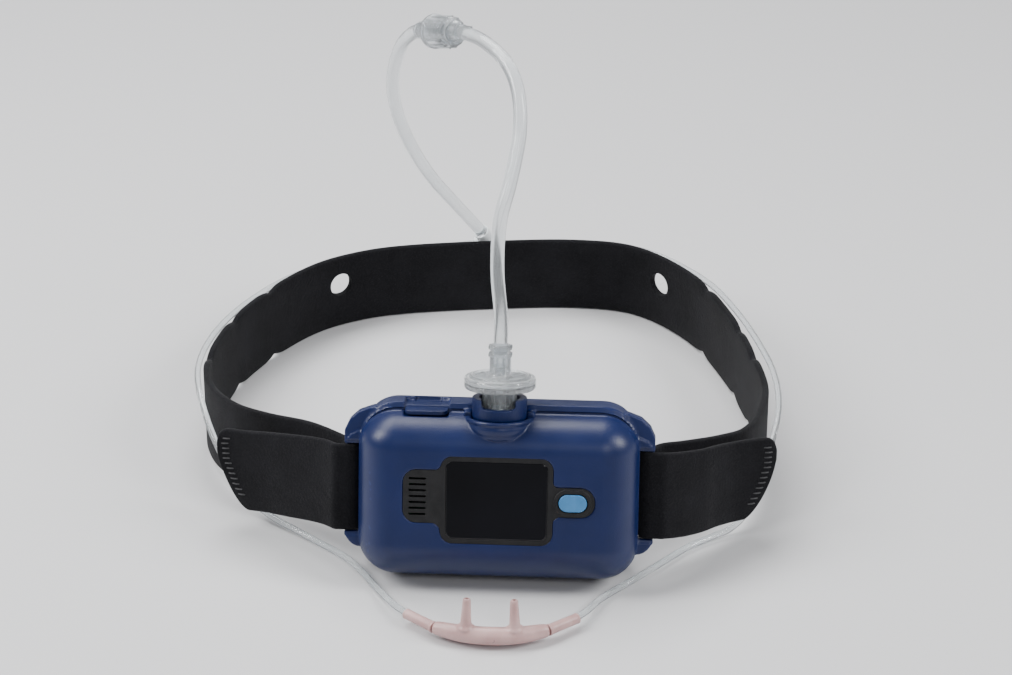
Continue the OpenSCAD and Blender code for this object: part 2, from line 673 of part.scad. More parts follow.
module port_collar() {
  color(blue) in_case() difference() {
    union() {
      port_at(boss_top + 0.15) cylinder(h = collar_top - boss_top - 0.15, d = collar_d, $fn = 96);
      port_at(spigot_low) cylinder(h = boss_top - spigot_low + 1, d = spigot_d, $fn = 96);
    }
    port_at(spigot_low - 1) cylinder(h = 40, d = collar_bore_d, $fn = 96);
    port_at(boss_top + 0.6) rotate_extrude($fn = 96) translate([collar_d / 2, 0])
      circle(0.4, $fn = 16);
    translate([0, 0, collar_top + 3]) slab(port_y - 20, port_y) round_rect(10.8, 11.8, 1.6);
  }
}
module port_gasket() {
  color("#b7b9bd") in_case() port_at(socket_low + flange_t + 0.08) difference() {
    cylinder(h = 0.8, d = spigot_d - 0.3, $fn = 64);
    translate([0, 0, -1]) cylinder(h = 3, d = 10, $fn = 64);
  }
}
module luer_socket() {
  color("#dfe3ea") in_case() difference() {
    union() {
      port_at(socket_low + 0.03) cylinder(h = flange_t, d = spigot_d - 0.2, $fn = 64);
      port_at(socket_low) cylinder(h = socket_top - socket_low, d = hub_d, $fn = 64);
      port_at(socket_top - 1.2) intersection() {
        cylinder(h = 1.2, d = ear_d, $fn = 64);
        translate([-ear_d, -2.6, 0]) cube([2 * ear_d, 5.2, 2]);
      }
      port_at(socket_low - 3.4) cylinder(h = 4, d = 2.6, $fn = 32);
    }
    port_at(socket_low + 1) cylinder(h = 40, d = luer_bore_d, $fn = 64);
    port_at(socket_low - 10) cylinder(h = 20, d = 1.2, $fn = 24);
  }
}
module filter_base() {
  color(clear) in_case() difference() {
    union() {
      port_at(disc_low) cylinder(h = disc_t / 2 - 0.2, d = disc_d, $fn = 96);
      port_at(collar_top - 4.2) cylinder(h = disc_low - collar_top + 4.3, d = lock_d, $fn = 64);
      port_at(socket_top - 5.6) cylinder(h = disc_low - socket_top + 5.7, d = stem_d, $fn = 64);
    }
    port_at(collar_top - 6) difference() {
      cylinder(h = disc_low - collar_top + 5, d = lock_bore_d, $fn = 64);
      cylinder(h = 20, d = stem_d, $fn = 64);
    }
    port_at(0) cylinder(h = 80, d = 2.6, $fn = 48);
    port_at(disc_mid - 0.9) cylinder(h = 3, d = disc_d - 5, $fn = 64);
  }
}
module filter_membrane() {
  color("white") in_case() port_at(disc_mid - 0.15)
    cylinder(h = 0.3, d = disc_d - 2, $fn = 64);
}
module filter_cap() {
  color(clear) in_case() difference() {
    union() {
      port_at(disc_mid + 0.2) cylinder(h = disc_t / 2 - 0.2, d = disc_d, $fn = 96);
      port_at(disc_top - 0.1) cylinder(h = 0.7, d = disc_d - 5, $fn = 64);
      port_at(disc_top - 0.1) cylinder(h = hub_l + 0.1, d = hub_d, $fn = 64);
      for (z = [hub_top - 1.3, hub_top - 3.7]) port_at(z) intersection() {
        cylinder(h = 1.3, d = ear_d, $fn = 64);
        translate([-ear_d, -2.7, 0]) cube([2 * ear_d, 5.4, 2]);
      }
    }
    port_at(disc_mid) cylinder(h = 0.9, d = disc_d - 5, $fn = 64);
    port_at(disc_mid) cylinder(h = 40, d = 2.6, $fn = 48);
  }
}
module loop_tube_front() {
  color(clear) tube(front_route, loop_d, [1, 0, 0], 10);
}
module loop_tube_back() {
  color(clear) tube(back_route, loop_d, [1, 0, 0], 10);
}

// Luer lock at the top of the loop, drawn along +Z from where the front tube ends
lock_way = lock_end - lock_start;
lock_l = norm(lock_way);
module in_lock() {
  translate(lock_start)
    rotate([0, acos(lock_way[2] / lock_l), atan2(lock_way[1], lock_way[0])]) children();
}
male_l = 15;
module loop_male_luer() {
  color(clear) in_lock() difference() {
    union() {
      cylinder(h = 4, d = 5.8, $fn = 48);
      translate([0, 0, 3.9]) cylinder(h = 1.6, d = 8, $fn = 48);
      translate([0, 0, 5.4]) cylinder(h = male_l - 5.4, d = stem_d, $fn = 48);
    }
    translate([0, 0, -1]) cylinder(h = male_l + 2, d = 2.4, $fn = 32);
  }
}
module loop_lock_collar() {
  color(clear) in_lock() difference() {
    union() {
      translate([0, 0, 5.8]) cylinder(h = 11.2, d = lock_d, $fn = 64);
      translate([0, 0, 15.6]) cylinder(h = 1.6, d = lock_d + 1, $fn = 64);
      for (s = [-1, 1]) translate([s * (lock_d / 2 + 0.3) - 0.8, -1.3, 2.4]) cube([1.6, 2.6, 8]);
    }
    translate([0, 0, 7.2]) cylinder(h = 20, d = lock_bore_d, $fn = 64);
    translate([0, 0, -1]) cylinder(h = 20, d = stem_d + 2 * pin_gap, $fn = 64);
  }
}
module loop_female_luer() {
  color(clear) in_lock() difference() {
    union() {
      translate([0, 0, 9.6]) cylinder(h = lock_l - 9.6, d = 5.8, $fn = 48);
      translate([0, 0, 9.6]) intersection() {
        cylinder(h = 1.3, d = ear_d, $fn = 48);
        translate([-ear_d, -2.4, 0]) cube([2 * ear_d, 4.8, 2]);
      }
    }
    translate([0, 0, 9]) cylinder(h = 8, d = luer_bore_d, $fn = 48);
    translate([0, 0, 9]) cylinder(h = 40, d = 2.4, $fn = 32);
  }
}
module tube_junction() {
  way = junction_mouth - junction_at;
  color("#dfe6e6") {
    translate(junction_at) rotate([0, acos(way[2] / norm(way)), atan2(way[1], way[0])])
      cylinder(h = norm(way), d = loop_d + 1.4, $fn = 48);
    translate(junction_at) rotate([0, 90, 0]) cylinder(h = 12, d = 4.6, center = true, $fn = 48);
  }
}

// Cannula

module cannula_tube_left() {
  color(clear) tube(left_route, thin_d, [0, 0, 1]);
}
module cannula_tube_right() {
  color(clear) tube(right_route, thin_d, [0, 0, 1]);
}
module rod(a, b, d1, d2) {
  way = b - a;
  translate(a) rotate([0, acos(way[2] / norm(way)), atan2(way[1], way[0])])
    cylinder(h = norm(way), d1 = d1, d2 = d2, $fn = 32);
}
sleeve_d = 3.6;
nose_ds = [4, 5.7, nose_d, 5.7, 4];
nose_face = [nose_left, [1, 0, 0], [1, 0, 0], [1, 0, 0], -nose_right];
module cannula_sleeve_left() {
  color("#e8cfd2") rod(sleeve_left, nose_line[0] - 0.04 * nose_left, sleeve_d, sleeve_d);
}
module cannula_sleeve_right() {
  color("#e8cfd2") rod(sleeve_right, nose_line[4] - 0.04 * nose_right, sleeve_d, sleeve_d);
}
module nosepiece() {
  color("#eccfd2") {
    for (i = [0 : 3]) hull() for (k = [i, i + 1])
      rod(nose_line[k], nose_line[k] + 0.01 * nose_face[k], nose_ds[k], nose_ds[k]);
    rod([1.2, -130, nose_z], [1.6, -128.4, nose_z + 12.4], 4.4, 2.6);
    rod([16.8, -130, nose_z], [16.4, -128.4, nose_z + 12.4], 4.4, 2.6);
  }
}

// Strap

// From the front of the bar, through the slot and back out behind the bar
function fold(side) = [
  for (p = [
    [tail_x - gap, tail_y], [bar_in + 0.3, tail_y],
    [bar_in - fold_r * 0.55, lug_y - fold_r * 0.83 + 0.05],
    [bar_in - fold_r * 0.95, lug_y - fold_r * 0.3],
    [bar_in - fold_r, lug_y + 0.4], [bar_in - fold_r, lug_y + lug_t - 0.4],
    [bar_in - fold_r * 0.95, lug_y + lug_t + fold_r * 0.3],
    [bar_in - fold_r * 0.55, lug_y + lug_t + fold_r * 0.83 - 0.05],
    [bar_in + 0.3, lug_y + lug_t + fold_r]
  ]) on_case(side * p[0], p[1])
];
function reversed(p) = [for (i = [len(p) - 1 : -1 : 0]) p[i]];
band_route = concat(
  fold(-1),
  smooth(concat([on_case(-bar_x, lug_y + lug_t + fold_r + 0.1)], ring_route,
    [on_case(bar_x, lug_y + lug_t + fold_r + 0.1)]), 3),
  reversed(fold(1))
);
module eyelet(x, y, turn) {
  translate([x, y, low_z + 3]) rotate([90, 0, turn])
    cylinder(h = 30, d = eyelet_d, center = true, $fn = 48);
}
module strap_band() {
  color(fabric) difference() {
    strap(band_route, strap_t, [for (p = band_route) strap_w / 2]);
    eyelet(-61, 82, 35);
    eyelet(60, 89, -42);
  }
}
function end_half(left) = left >= tail_end_r ? strap_w / 2
  : strap_w / 2 - tail_end_r + sqrt(max(tail_end_r ^ 2 - (tail_end_r - left) ^ 2, 0.01));
function tail_points(side, route) = concat([on_case(side * tail_x, tail_y)],
  smooth(concat([on_case(side * (tail_x + 0.9), tail_y)], route), 4));
module tail(side, route) {
  pts = tail_points(side, route);
  long = run(pts, len(pts) - 1);
  strap(pts, strap_t, [for (i = [0 : len(pts) - 1]) end_half(long - run(pts, i))]);
}
module strap_tail_left() {
  color(fabric) tail(-1, left_tail_route);
}
module strap_tail_right() {
  color(fabric) tail(1, right_tail_route);
}
// Hook patch sewn on the inner face of a tail
hook_t = 0.8;
module hook_patch(side, route) {
  pts = tail_points(side, route);
  shifted = [for (i = [13 : 25])
    let (up = [0, sin(pts[i][3]), cos(pts[i][3])],
         n = -side * unit(cross(heading(pts, i), up)) * (strap_t / 2 + hook_t / 2 + 0.12))
    [pts[i][0] + n[0], pts[i][1] + n[1], pts[i][2] + n[2], pts[i][3]]];
  strap(shifted, hook_t, [for (p = shifted) strap_w / 2 - 5]);
}
module hook_tab_left() {
  color("#2b2b2e") hook_patch(-1, left_tail_route);
}
module hook_tab_right() {
  color("#2b2b2e") hook_patch(1, right_tail_route);
}

front_shell();
back_shell();
case_gasket();
case_screws();
window_bezel();
display_lens();
display_module();
display_flex();
power_button();
tact_switch();
microphone();
microphone_foam();
main_board();
board_chips();
memory_card();
buzzer();
pressure_sensor();
sensor_hose();
battery();
battery_leads();
usb_socket();
port_door();
door_pin();
pulse_sensor_window();
pulse_sensor_board();
forehead_pad_left();
forehead_pad_right();
port_collar();
port_gasket();
luer_socket();
filter_base();
filter_membrane();
filter_cap();
loop_tube_front();
loop_male_luer();
loop_lock_collar();
loop_female_luer();
loop_tube_back();
tube_junction();
cannula_tube_left();
cannula_tube_right();
cannula_sleeve_left();
cannula_sleeve_right();
nosepiece();
strap_band();
strap_tail_left();
strap_tail_right();
hook_tab_left();
hook_tab_right();
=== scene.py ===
"""The looks of a head-worn sleep recorder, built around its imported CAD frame.

Places on the object are in millimetres until MM turns them into metres. The camera and the
lights are in metres.
"""

import json
import math

import bmesh
import bpy
import numpy as np
from mathutils import Matrix, Vector


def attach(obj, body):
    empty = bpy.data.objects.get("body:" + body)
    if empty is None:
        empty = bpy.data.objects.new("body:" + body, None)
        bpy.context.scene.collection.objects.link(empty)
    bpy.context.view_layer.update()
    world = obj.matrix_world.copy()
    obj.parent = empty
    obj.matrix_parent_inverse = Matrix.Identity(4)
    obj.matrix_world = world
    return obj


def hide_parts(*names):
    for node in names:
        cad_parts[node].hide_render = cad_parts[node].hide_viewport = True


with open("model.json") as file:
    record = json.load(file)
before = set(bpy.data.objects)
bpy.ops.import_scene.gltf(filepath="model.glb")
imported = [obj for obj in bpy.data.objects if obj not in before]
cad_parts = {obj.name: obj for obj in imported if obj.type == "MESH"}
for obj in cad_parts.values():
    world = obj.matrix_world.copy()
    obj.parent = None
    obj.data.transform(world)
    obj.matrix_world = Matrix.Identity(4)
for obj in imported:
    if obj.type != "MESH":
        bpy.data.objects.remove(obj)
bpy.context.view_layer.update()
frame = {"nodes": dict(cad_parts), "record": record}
NODES = frame["nodes"]
JOINTS = {joint["name"]: joint for joint in frame["record"]["behaviour"]["joints"]}
MM = 0.001

# The case's own frame: X to the right, Y to its back, Z up along the port, 0 at its centre
PORT_HEIGHT = 36 * MM
PORT_Y = -2
PORT_DEPTH = PORT_Y * MM
RIGHT = Vector((1, 0, 0))
BACK = Vector(JOINTS["button_press"]["axis"])
UP = Vector(JOINTS["filter_twist"]["axis"])
CENTRE = Vector(JOINTS["filter_twist"]["pos_m"]) - UP * PORT_HEIGHT - BACK * PORT_DEPTH
CASE = Matrix((RIGHT, BACK, UP)).transposed().to_4x4()
CASE.translation = CENTRE


def on_case(x, y, z):
    """A place in millimetres in the case's frame, as a point in the row frame."""
    return CASE @ Vector((x * MM, y * MM, z * MM))


# ---------------------------------------------------------------- camera and stage

CAMERA_AT = Vector((0.0577, -0.8888, 0.5135))
CAMERA_PITCH = 28.0
CAMERA_TURN = 3.3
LENS_MM = 103.2


def add_camera():
    data = bpy.data.cameras.new("camera")
    data.lens = LENS_MM
    data.sensor_width = 36
    data.clip_start = 0.01
    camera = bpy.data.objects.new("camera", data)
    camera.location = CAMERA_AT
    camera.rotation_euler = (math.radians(90 - CAMERA_PITCH), 0, math.radians(CAMERA_TURN))
    bpy.context.collection.objects.link(camera)
    bpy.context.scene.camera = camera


def add_area_light(name, at, aim, size, watts, colour=(1, 1, 1)):
    data = bpy.data.lights.new(name, "AREA")
    data.shape = "RECTANGLE"
    data.size, data.size_y = size
    data.energy = watts
    data.color = colour
    light = bpy.data.objects.new(name, data)
    light.location = at
    light.rotation_euler = (Vector(aim) - Vector(at)).to_track_quat("-Z", "Y").to_euler()
    bpy.context.collection.objects.link(light)


def add_stage():
    """A pale floor, a dim even sky and four soft lights."""
    mesh = bpy.data.meshes.new("floor")
    half = 4.0
    mesh.from_pydata([(-half, -half, 0), (half, -half, 0), (half, half, 0), (-half, half, 0)],
                     [], [(0, 1, 2, 3)])
    floor = bpy.data.objects.new("floor", mesh)
    floor.location.z = -0.0001
    bpy.context.collection.objects.link(floor)
    mat = bpy.data.materials.new("floor")
    mat.use_nodes = True
    shader = mat.node_tree.nodes["Principled BSDF"]
    shader.inputs["Base Color"].default_value = (0.62, 0.62, 0.63, 1)
    shader.inputs["Roughness"].default_value = 0.6
    mesh.materials.append(mat)
    world = bpy.data.worlds.new("studio")
    world.use_nodes = True
    world.node_tree.nodes["Background"].inputs["Color"].default_value = (0.93, 0.95, 1, 1)
    world.node_tree.nodes["Background"].inputs["Strength"].default_value = 0.22
    bpy.context.scene.world = world
    add_area_light("overhead", (-0.25, 0.35, 0.95), (0, 0, 0.03), (0.9, 0.5), 13)
    add_area_light("left", (-0.75, -0.2, 0.7), (0, -0.03, 0.03), (0.3, 0.5), 10)
    add_area_light("right", (0.85, -0.2, 0.7), (0, -0.03, 0.03), (0.3, 0.5), 10)
    add_area_light("front", (0.35, -0.95, 0.75), (0, -0.05, 0.03), (0.3, 0.3), 3)


add_camera()
add_stage()

# ---------------------------------------------------------------- materials


class Shader:
    """A material with a Principled shader, and short ways to add texture to it."""

    def __init__(self, name, colour, rough=0.5, **sockets):
        self.mat = bpy.data.materials.new(name)
        self.mat.use_nodes = True
        self.tree = self.mat.node_tree
        self.shader = self.tree.nodes["Principled BSDF"]
        self.shader.inputs["Base Color"].default_value = (*colour, 1)
        self.shader.inputs["Roughness"].default_value = rough
        for socket, value in sockets.items():
            self.shader.inputs[socket.replace("_", " ")].default_value = value
        self.last_bump = None
        self.coords = self.node("ShaderNodeTexCoord").outputs["Object"]

    def node(self, kind, **values):
        made = self.tree.nodes.new(kind)
        for key, value in values.items():
            setattr(made, key, value)
        return made

    def link(self, a, b):
        self.tree.links.new(a, b)

    def noise(self, scale, detail=3, rough=0.55, stretch=None):
        texture = self.node("ShaderNodeTexNoise")
        texture.inputs["Scale"].default_value = scale
        texture.inputs["Detail"].default_value = detail
        texture.inputs["Roughness"].default_value = rough
        source = self.coords
        if stretch:
            mapping = self.node("ShaderNodeMapping")
            mapping.inputs["Scale"].default_value = stretch
            self.link(source, mapping.inputs["Vector"])
            source = mapping.outputs["Vector"]
        self.link(source, texture.inputs["Vector"])
        return texture.outputs["Fac"]

    def cells(self, scale):
        texture = self.node("ShaderNodeTexVoronoi")
        texture.inputs["Scale"].default_value = scale
        self.link(self.coords, texture.inputs["Vector"])
        return texture.outputs["Distance"]

    def ramp(self, value, stops):
        """Stops are (place, colour or grey)."""
        ramp = self.node("ShaderNodeValToRGB")
        elements = ramp.color_ramp.elements
        while len(elements) < len(stops):
            elements.new(0.5)
        for element, (place, shade) in zip(elements, stops):
            element.position = place
            element.color = (shade, shade, shade, 1) if isinstance(shade, float) else (*shade, 1)
        self.link(value, ramp.inputs["Fac"])
        return ramp.outputs["Color"]

    def mix(self, value, a, b):
        """Each of a and b is a colour or a socket."""
        mix = self.node("ShaderNodeMix", data_type="RGBA")
        self.link(value, mix.inputs[0])
        for socket, shade in ((mix.inputs[6], a), (mix.inputs[7], b)):
            if isinstance(shade, tuple):
                socket.default_value = (*shade, 1)
            else:
                self.link(shade, socket)
        return mix.outputs[2]

    def paint(self, value, dark, light):
        """Colours the surface between two shades."""
        colour = self.ramp(value, [(0.3, dark), (0.7, light)])
        self.link(colour, self.shader.inputs["Base Color"])
        return colour

    def lit_edges(self, colour, edge):
        """Paints a highlight on the outer edges: convex places get the lighter colour."""
        point = self.node("ShaderNodeNewGeometry").outputs["Pointiness"]
        highlight_mask = self.ramp(point, [(0.53, 0.0), (0.6, 1.0)])
        self.link(self.mix(highlight_mask, colour, edge), self.shader.inputs["Base Color"])

    def roughen(self, value, low, high):
        spread = self.node("ShaderNodeMapRange")
        spread.inputs["To Min"].default_value = low
        spread.inputs["To Max"].default_value = high
        self.link(value, spread.inputs["Value"])
        self.link(spread.outputs["Result"], self.shader.inputs["Roughness"])

    def bump(self, value, depth, strength=1.0):
        bump = self.node("ShaderNodeBump")
        bump.inputs["Strength"].default_value = strength
        bump.inputs["Distance"].default_value = depth
        self.link(value, bump.inputs["Height"])
        if self.last_bump:
            self.link(self.last_bump, bump.inputs["Normal"])
        self.last_bump = bump.outputs["Normal"]
        self.link(self.last_bump, self.shader.inputs["Normal"])


def blue_plastic():
    s = Shader("blue_plastic", (0.004, 0.013, 0.075), 0.38, Specular_IOR_Level=0.4)
    base = s.paint(s.noise(45, 4), (0.0026, 0.009, 0.054), (0.0042, 0.013, 0.074))
    # Painted highlight: the convex edges of the blue plastic are coloured lighter.
    s.lit_edges(base, (0.008, 0.02, 0.1))
    s.roughen(s.noise(160, 4), 0.3, 0.46)
    s.bump(s.noise(2300, 3), 0.00012, 0.4)
    return s.mat


def black_texture():
    s = Shader("black_textured_plastic", (0.006, 0.006, 0.006), 0.6, Specular_IOR_Level=0.3)
    s.paint(s.noise(300, 3), (0.006, 0.006, 0.007), (0.013, 0.013, 0.014))
    s.bump(s.cells(2600), 0.00008, 0.5)
    s.roughen(s.noise(900, 2), 0.42, 0.62)
    return s.mat


def window_pane():
    s = Shader("window_pane", (0.003, 0.003, 0.004), 0.05, Specular_IOR_Level=0.4)
    s.roughen(s.noise(120, 5, 0.7), 0.03, 0.1)
    s.paint(s.noise(30, 2), (0.0025, 0.0025, 0.003), (0.005, 0.005, 0.007))
    return s.mat


def button_plastic():
    s = Shader("light_blue_button", (0.05, 0.2, 0.42), 0.4)
    base = s.paint(s.noise(300, 3), (0.045, 0.18, 0.38), (0.06, 0.22, 0.46))
    # Painted highlight: the button's convex rim is coloured lighter.
    s.lit_edges(base, (0.15, 0.34, 0.6))
    s.bump(s.noise(4000, 2), 0.00003, 0.3)
    return s.mat


def clear_plastic():
    s = Shader("clear_plastic", (0.9, 0.93, 0.95), 0.09, Transmission_Weight=0.88, IOR=1.49)
    s.paint(s.noise(120, 2), (0.837, 0.8649, 0.8835), (0.9, 0.93, 0.95))
    s.roughen(s.noise(500, 3), 0.054, 0.162)
    s.bump(s.noise(900, 2), 0.00004, 0.25)
    return s.mat


def clear_vinyl():
    s = Shader("clear_vinyl", (0.88, 0.91, 0.93), 0.12, Transmission_Weight=0.82, IOR=1.42)
    s.paint(s.noise(60, 2), (0.84, 0.88, 0.9), (0.93, 0.95, 0.96))
    s.roughen(s.noise(300, 3), 0.06, 0.2)
    s.bump(s.noise(700, 2), 0.00005, 0.2)
    return s.mat


def frosted_white():
    s = Shader("frosted_white", (0.8, 0.84, 0.85), 0.35, Subsurface_Weight=0.25)
    s.shader.inputs["Subsurface Radius"].default_value = (0.002, 0.002, 0.002)
    s.paint(s.noise(200, 3), (0.74, 0.79, 0.8), (0.85, 0.88, 0.89))
    s.bump(s.noise(2500, 2), 0.00003, 0.3)
    return s.mat


def pink_vinyl():
    s = Shader("pink_vinyl", (0.64, 0.42, 0.41), 0.25, Subsurface_Weight=0.3,
               Transmission_Weight=0.2, IOR=1.42)
    s.shader.inputs["Subsurface Radius"].default_value = (0.004, 0.0025, 0.002)
    s.paint(s.noise(140, 3), (0.56, 0.35, 0.34), (0.7, 0.48, 0.46))
    s.roughen(s.noise(400, 3), 0.22, 0.42)
    s.bump(s.noise(1800, 3), 0.00005, 0.35)
    return s.mat


def strap_fabric():
    """Loop-faced neoprene: short curled fibres over a dark knit."""
    s = Shader("strap_fabric", (0.005, 0.005, 0.006), 0.95, Sheen_Weight=0.06,
               Sheen_Roughness=0.4, Specular_IOR_Level=0.15)
    fibres = s.noise(2600, 5, 0.75, stretch=(1, 1, 1.7))
    tone = s.noise(70, 4, 0.6)
    dark = s.paint(tone, (0.0035, 0.0035, 0.0045), (0.008, 0.008, 0.01))
    lint = s.ramp(fibres, [(0.52, 0.0), (0.74, 1.0)])
    s.link(s.mix(lint, dark, (0.03, 0.03, 0.033)), s.shader.inputs["Base Color"])
    s.bump(s.cells(1100), 0.00022, 0.5)
    s.bump(fibres, 0.00022, 0.8)
    s.bump(s.noise(130, 3), 0.0004, 0.3)
    return s.mat


def thread():
    s = Shader("black_thread", (0.02, 0.02, 0.022), 0.55, Sheen_Weight=0.2)
    s.paint(s.noise(1500, 2), (0.014, 0.014, 0.016), (0.035, 0.035, 0.04))
    s.bump(s.noise(5000, 2, stretch=(1, 1, 3)), 0.0001, 0.6)
    return s.mat


def hook_tape():
    s = Shader("hook_tape", (0.016, 0.016, 0.018), 0.6)
    s.paint(s.noise(400, 3), (0.01, 0.01, 0.012), (0.026, 0.026, 0.03))
    s.bump(s.cells(1400), 0.0003, 0.9)
    return s.mat


def foam():
    s = Shader("foam", (0.03, 0.03, 0.034), 0.9)
    s.paint(s.noise(600, 4), (0.022, 0.022, 0.026), (0.045, 0.045, 0.05))
    s.bump(s.cells(1800), 0.00025, 0.8)
    return s.mat


def steel():
    s = Shader("steel", (0.6, 0.61, 0.63), 0.3, Metallic=1.0)
    s.paint(s.noise(900, 3), (0.5, 0.51, 0.53), (0.68, 0.69, 0.71))
    s.roughen(s.noise(1400, 3, stretch=(1, 8, 1)), 0.2, 0.4)
    return s.mat


def plain(name, dark, light, rough, grain=600):
    """An even material with a fine grain."""
    s = Shader(name, light, rough)
    s.paint(s.noise(grain, 3), dark, light)
    s.bump(s.noise(grain * 4, 2), 0.00004, 0.4)
    return s.mat


def circuit_board():
    s = Shader("circuit_board", (0.01, 0.12, 0.06), 0.35)
    tracks = s.node("ShaderNodeTexBrick", offset=0.37, squash=1.0)
    tracks.inputs["Scale"].default_value = 420
    tracks.inputs["Color1"].default_value = (0.012, 0.13, 0.06, 1)
    tracks.inputs["Color2"].default_value = (0.02, 0.17, 0.08, 1)
    tracks.inputs["Mortar"].default_value = (0.05, 0.26, 0.12, 1)
    s.link(s.coords, tracks.inputs["Vector"])
    s.link(tracks.outputs["Color"], s.shader.inputs["Base Color"])
    s.bump(tracks.outputs["Fac"], 0.00003, 0.4)
    return s.mat


def red_window():
    s = Shader("red_window", (0.3, 0.004, 0.01), 0.06, Coat_Weight=0.6)
    s.paint(s.noise(90, 2), (0.2, 0.002, 0.006), (0.34, 0.006, 0.014))
    s.roughen(s.noise(300, 3), 0.04, 0.12)
    return s.mat


MATERIALS = {
    "blue": blue_plastic(),
    "black": black_texture(),
    "pane": window_pane(),
    "button": button_plastic(),
    "clear": clear_plastic(),
    "vinyl": clear_vinyl(),
    "white": frosted_white(),
    "pink": pink_vinyl(),
    "fabric": strap_fabric(),
    "thread": thread(),
    "hooks": hook_tape(),
    "foam": foam(),
    "steel": steel(),
    "rubber": plain("blue_rubber", (0.003, 0.008, 0.045), (0.005, 0.013, 0.07), 0.6),
    "display": plain("display_glass", (0.02, 0.024, 0.03), (0.035, 0.04, 0.05), 0.15),
    "amber": plain("amber_film", (0.32, 0.13, 0.02), (0.45, 0.2, 0.04), 0.3),
    "board": circuit_board(),
    "chip": plain("chip_black", (0.012, 0.012, 0.013), (0.03, 0.03, 0.03), 0.6),
    "silicone": plain("silicone", (0.62, 0.6, 0.56), (0.72, 0.7, 0.66), 0.4),
    "foil": plain("battery_foil", (0.42, 0.44, 0.47), (0.58, 0.6, 0.63), 0.4, 250),
    "red_lead": plain("red_lead", (0.34, 0.02, 0.015), (0.48, 0.03, 0.02), 0.45),
    "membrane": plain("membrane", (0.8, 0.8, 0.78), (0.93, 0.93, 0.92), 0.85, 2500),
    "red": red_window(),
}

NODE_FINISH = {
    "blue": ("front_shell", "back_shell", "port_door", "port_collar"),
    "rubber": ("case_gasket",),
    "steel": ("case_screws", "door_pin", "usb_socket", "microphone"),
    "black": ("window_bezel",),
    "pane": ("display_lens",),
    "display": ("display_module",),
    "amber": ("display_flex",),
    "button": ("power_button",),
    "white": ("tact_switch", "pressure_sensor", "luer_socket", "tube_junction"),
    "foam": ("microphone_foam", "forehead_pad_left", "forehead_pad_right"),
    "board": ("main_board", "pulse_sensor_board"),
    "chip": ("board_chips", "memory_card", "buzzer"),
    "silicone": ("sensor_hose", "port_gasket"),
    "foil": ("battery",),
    "red_lead": ("battery_leads",),
    "red": ("pulse_sensor_window",),
    "membrane": ("filter_membrane",),
    "clear": ("filter_base", "filter_cap", "loop_male_luer", "loop_lock_collar",
              "loop_female_luer"),
    "vinyl": ("loop_tube_front", "loop_tube_back", "cannula_tube_left", "cannula_tube_right"),
    "pink": ("nosepiece", "cannula_sleeve_left", "cannula_sleeve_right"),
    "fabric": ("strap_band", "strap_tail_left", "strap_tail_right"),
    "hooks": ("hook_tab_left", "hook_tab_right"),
}


def finish_nodes():
    """Gives every CAD node its material."""
    for finish, names in NODE_FINISH.items():
        for name in names:
            node = NODES[name]
            if not node.material_slots:
                node.data.materials.append(None)
            for holder in node.material_slots:
                holder.material = MATERIALS[finish]


finish_nodes()

# ---------------------------------------------------------------- making pieces


def place(obj, finish, body, *stands_for):
    """Gives a piece its material and its body, and hides the CAD nodes that it stands for."""
    obj.data.materials.clear()
    obj.data.materials.append(MATERIALS[finish])
    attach(obj, body)
    if stands_for:
        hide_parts(*stands_for)
    return obj


def add_object(name, mesh):
    obj = bpy.data.objects.new(name, mesh)
    bpy.context.collection.objects.link(obj)
    return obj


def shade(mesh, sharp_angle=38):
    """Smooth faces, with edges sharper than the angle kept crisp."""
    bm = bmesh.new()
    bm.from_mesh(mesh)
    bmesh.ops.recalc_face_normals(bm, faces=bm.faces)
    limit = math.radians(sharp_angle)
    for face in bm.faces:
        face.smooth = True
    for edge in bm.edges:
        if len(edge.link_faces) == 2 and edge.calc_face_angle(0) > limit:
            edge.smooth = False
    bm.to_mesh(mesh)
    bm.free()


def mesh_object(name, points, faces, sharp_angle=38):
    mesh = bpy.data.meshes.new(name)
    mesh.from_pydata([tuple(p) for p in points], [], faces)
    mesh.validate()
    shade(mesh, sharp_angle)
    return add_object(name, mesh)


def loft_faces(rows, size):
    """The quads between rows of points that each go round a section, and the two end faces."""
    faces = [(i * size + k, i * size + (k + 1) % size, (i + 1) * size + (k + 1) % size,
              (i + 1) * size + k) for i in range(rows - 1) for k in range(size)]
    faces.append(tuple(reversed(range(size))))
    faces.append(tuple((rows - 1) * size + k for k in range(size)))
    return faces


def way_at(line, i):
    """Which way a line runs at one of its points."""
    return Vector(line[min(i + 1, len(line) - 1)][:3] - line[max(i - 1, 0)][:3]).normalized()


def catmull(p, steps):
    """The same smooth curve through points as the CAD source draws."""
    p = [np.array(q, float) for q in p]
    out = []
    for i in range(len(p) - 1):
        a, b, c, d = p[max(i - 1, 0)], p[i], p[i + 1], p[min(i + 2, len(p) - 1)]
        for j in range(steps):
            t = j / steps
            out.append(0.5 * (2 * b + (c - a) * t + (2 * a - 5 * b + 4 * c - d) * t * t
                              + (3 * b - 3 * c + d - a) * t ** 3))
    out.append(p[-1])
    return np.array(out)


def even(line, step):
    """Points a step apart along a line; extra columns are carried along."""
    along = np.concatenate([[0], np.cumsum(np.linalg.norm(np.diff(line[:, :3], axis=0), axis=1))])
    count = max(2, round(along[-1] / step) + 1)
    at = np.linspace(0, along[-1], count)
    return np.stack([np.interp(at, along, line[:, k]) for k in range(line.shape[1])], axis=1), at


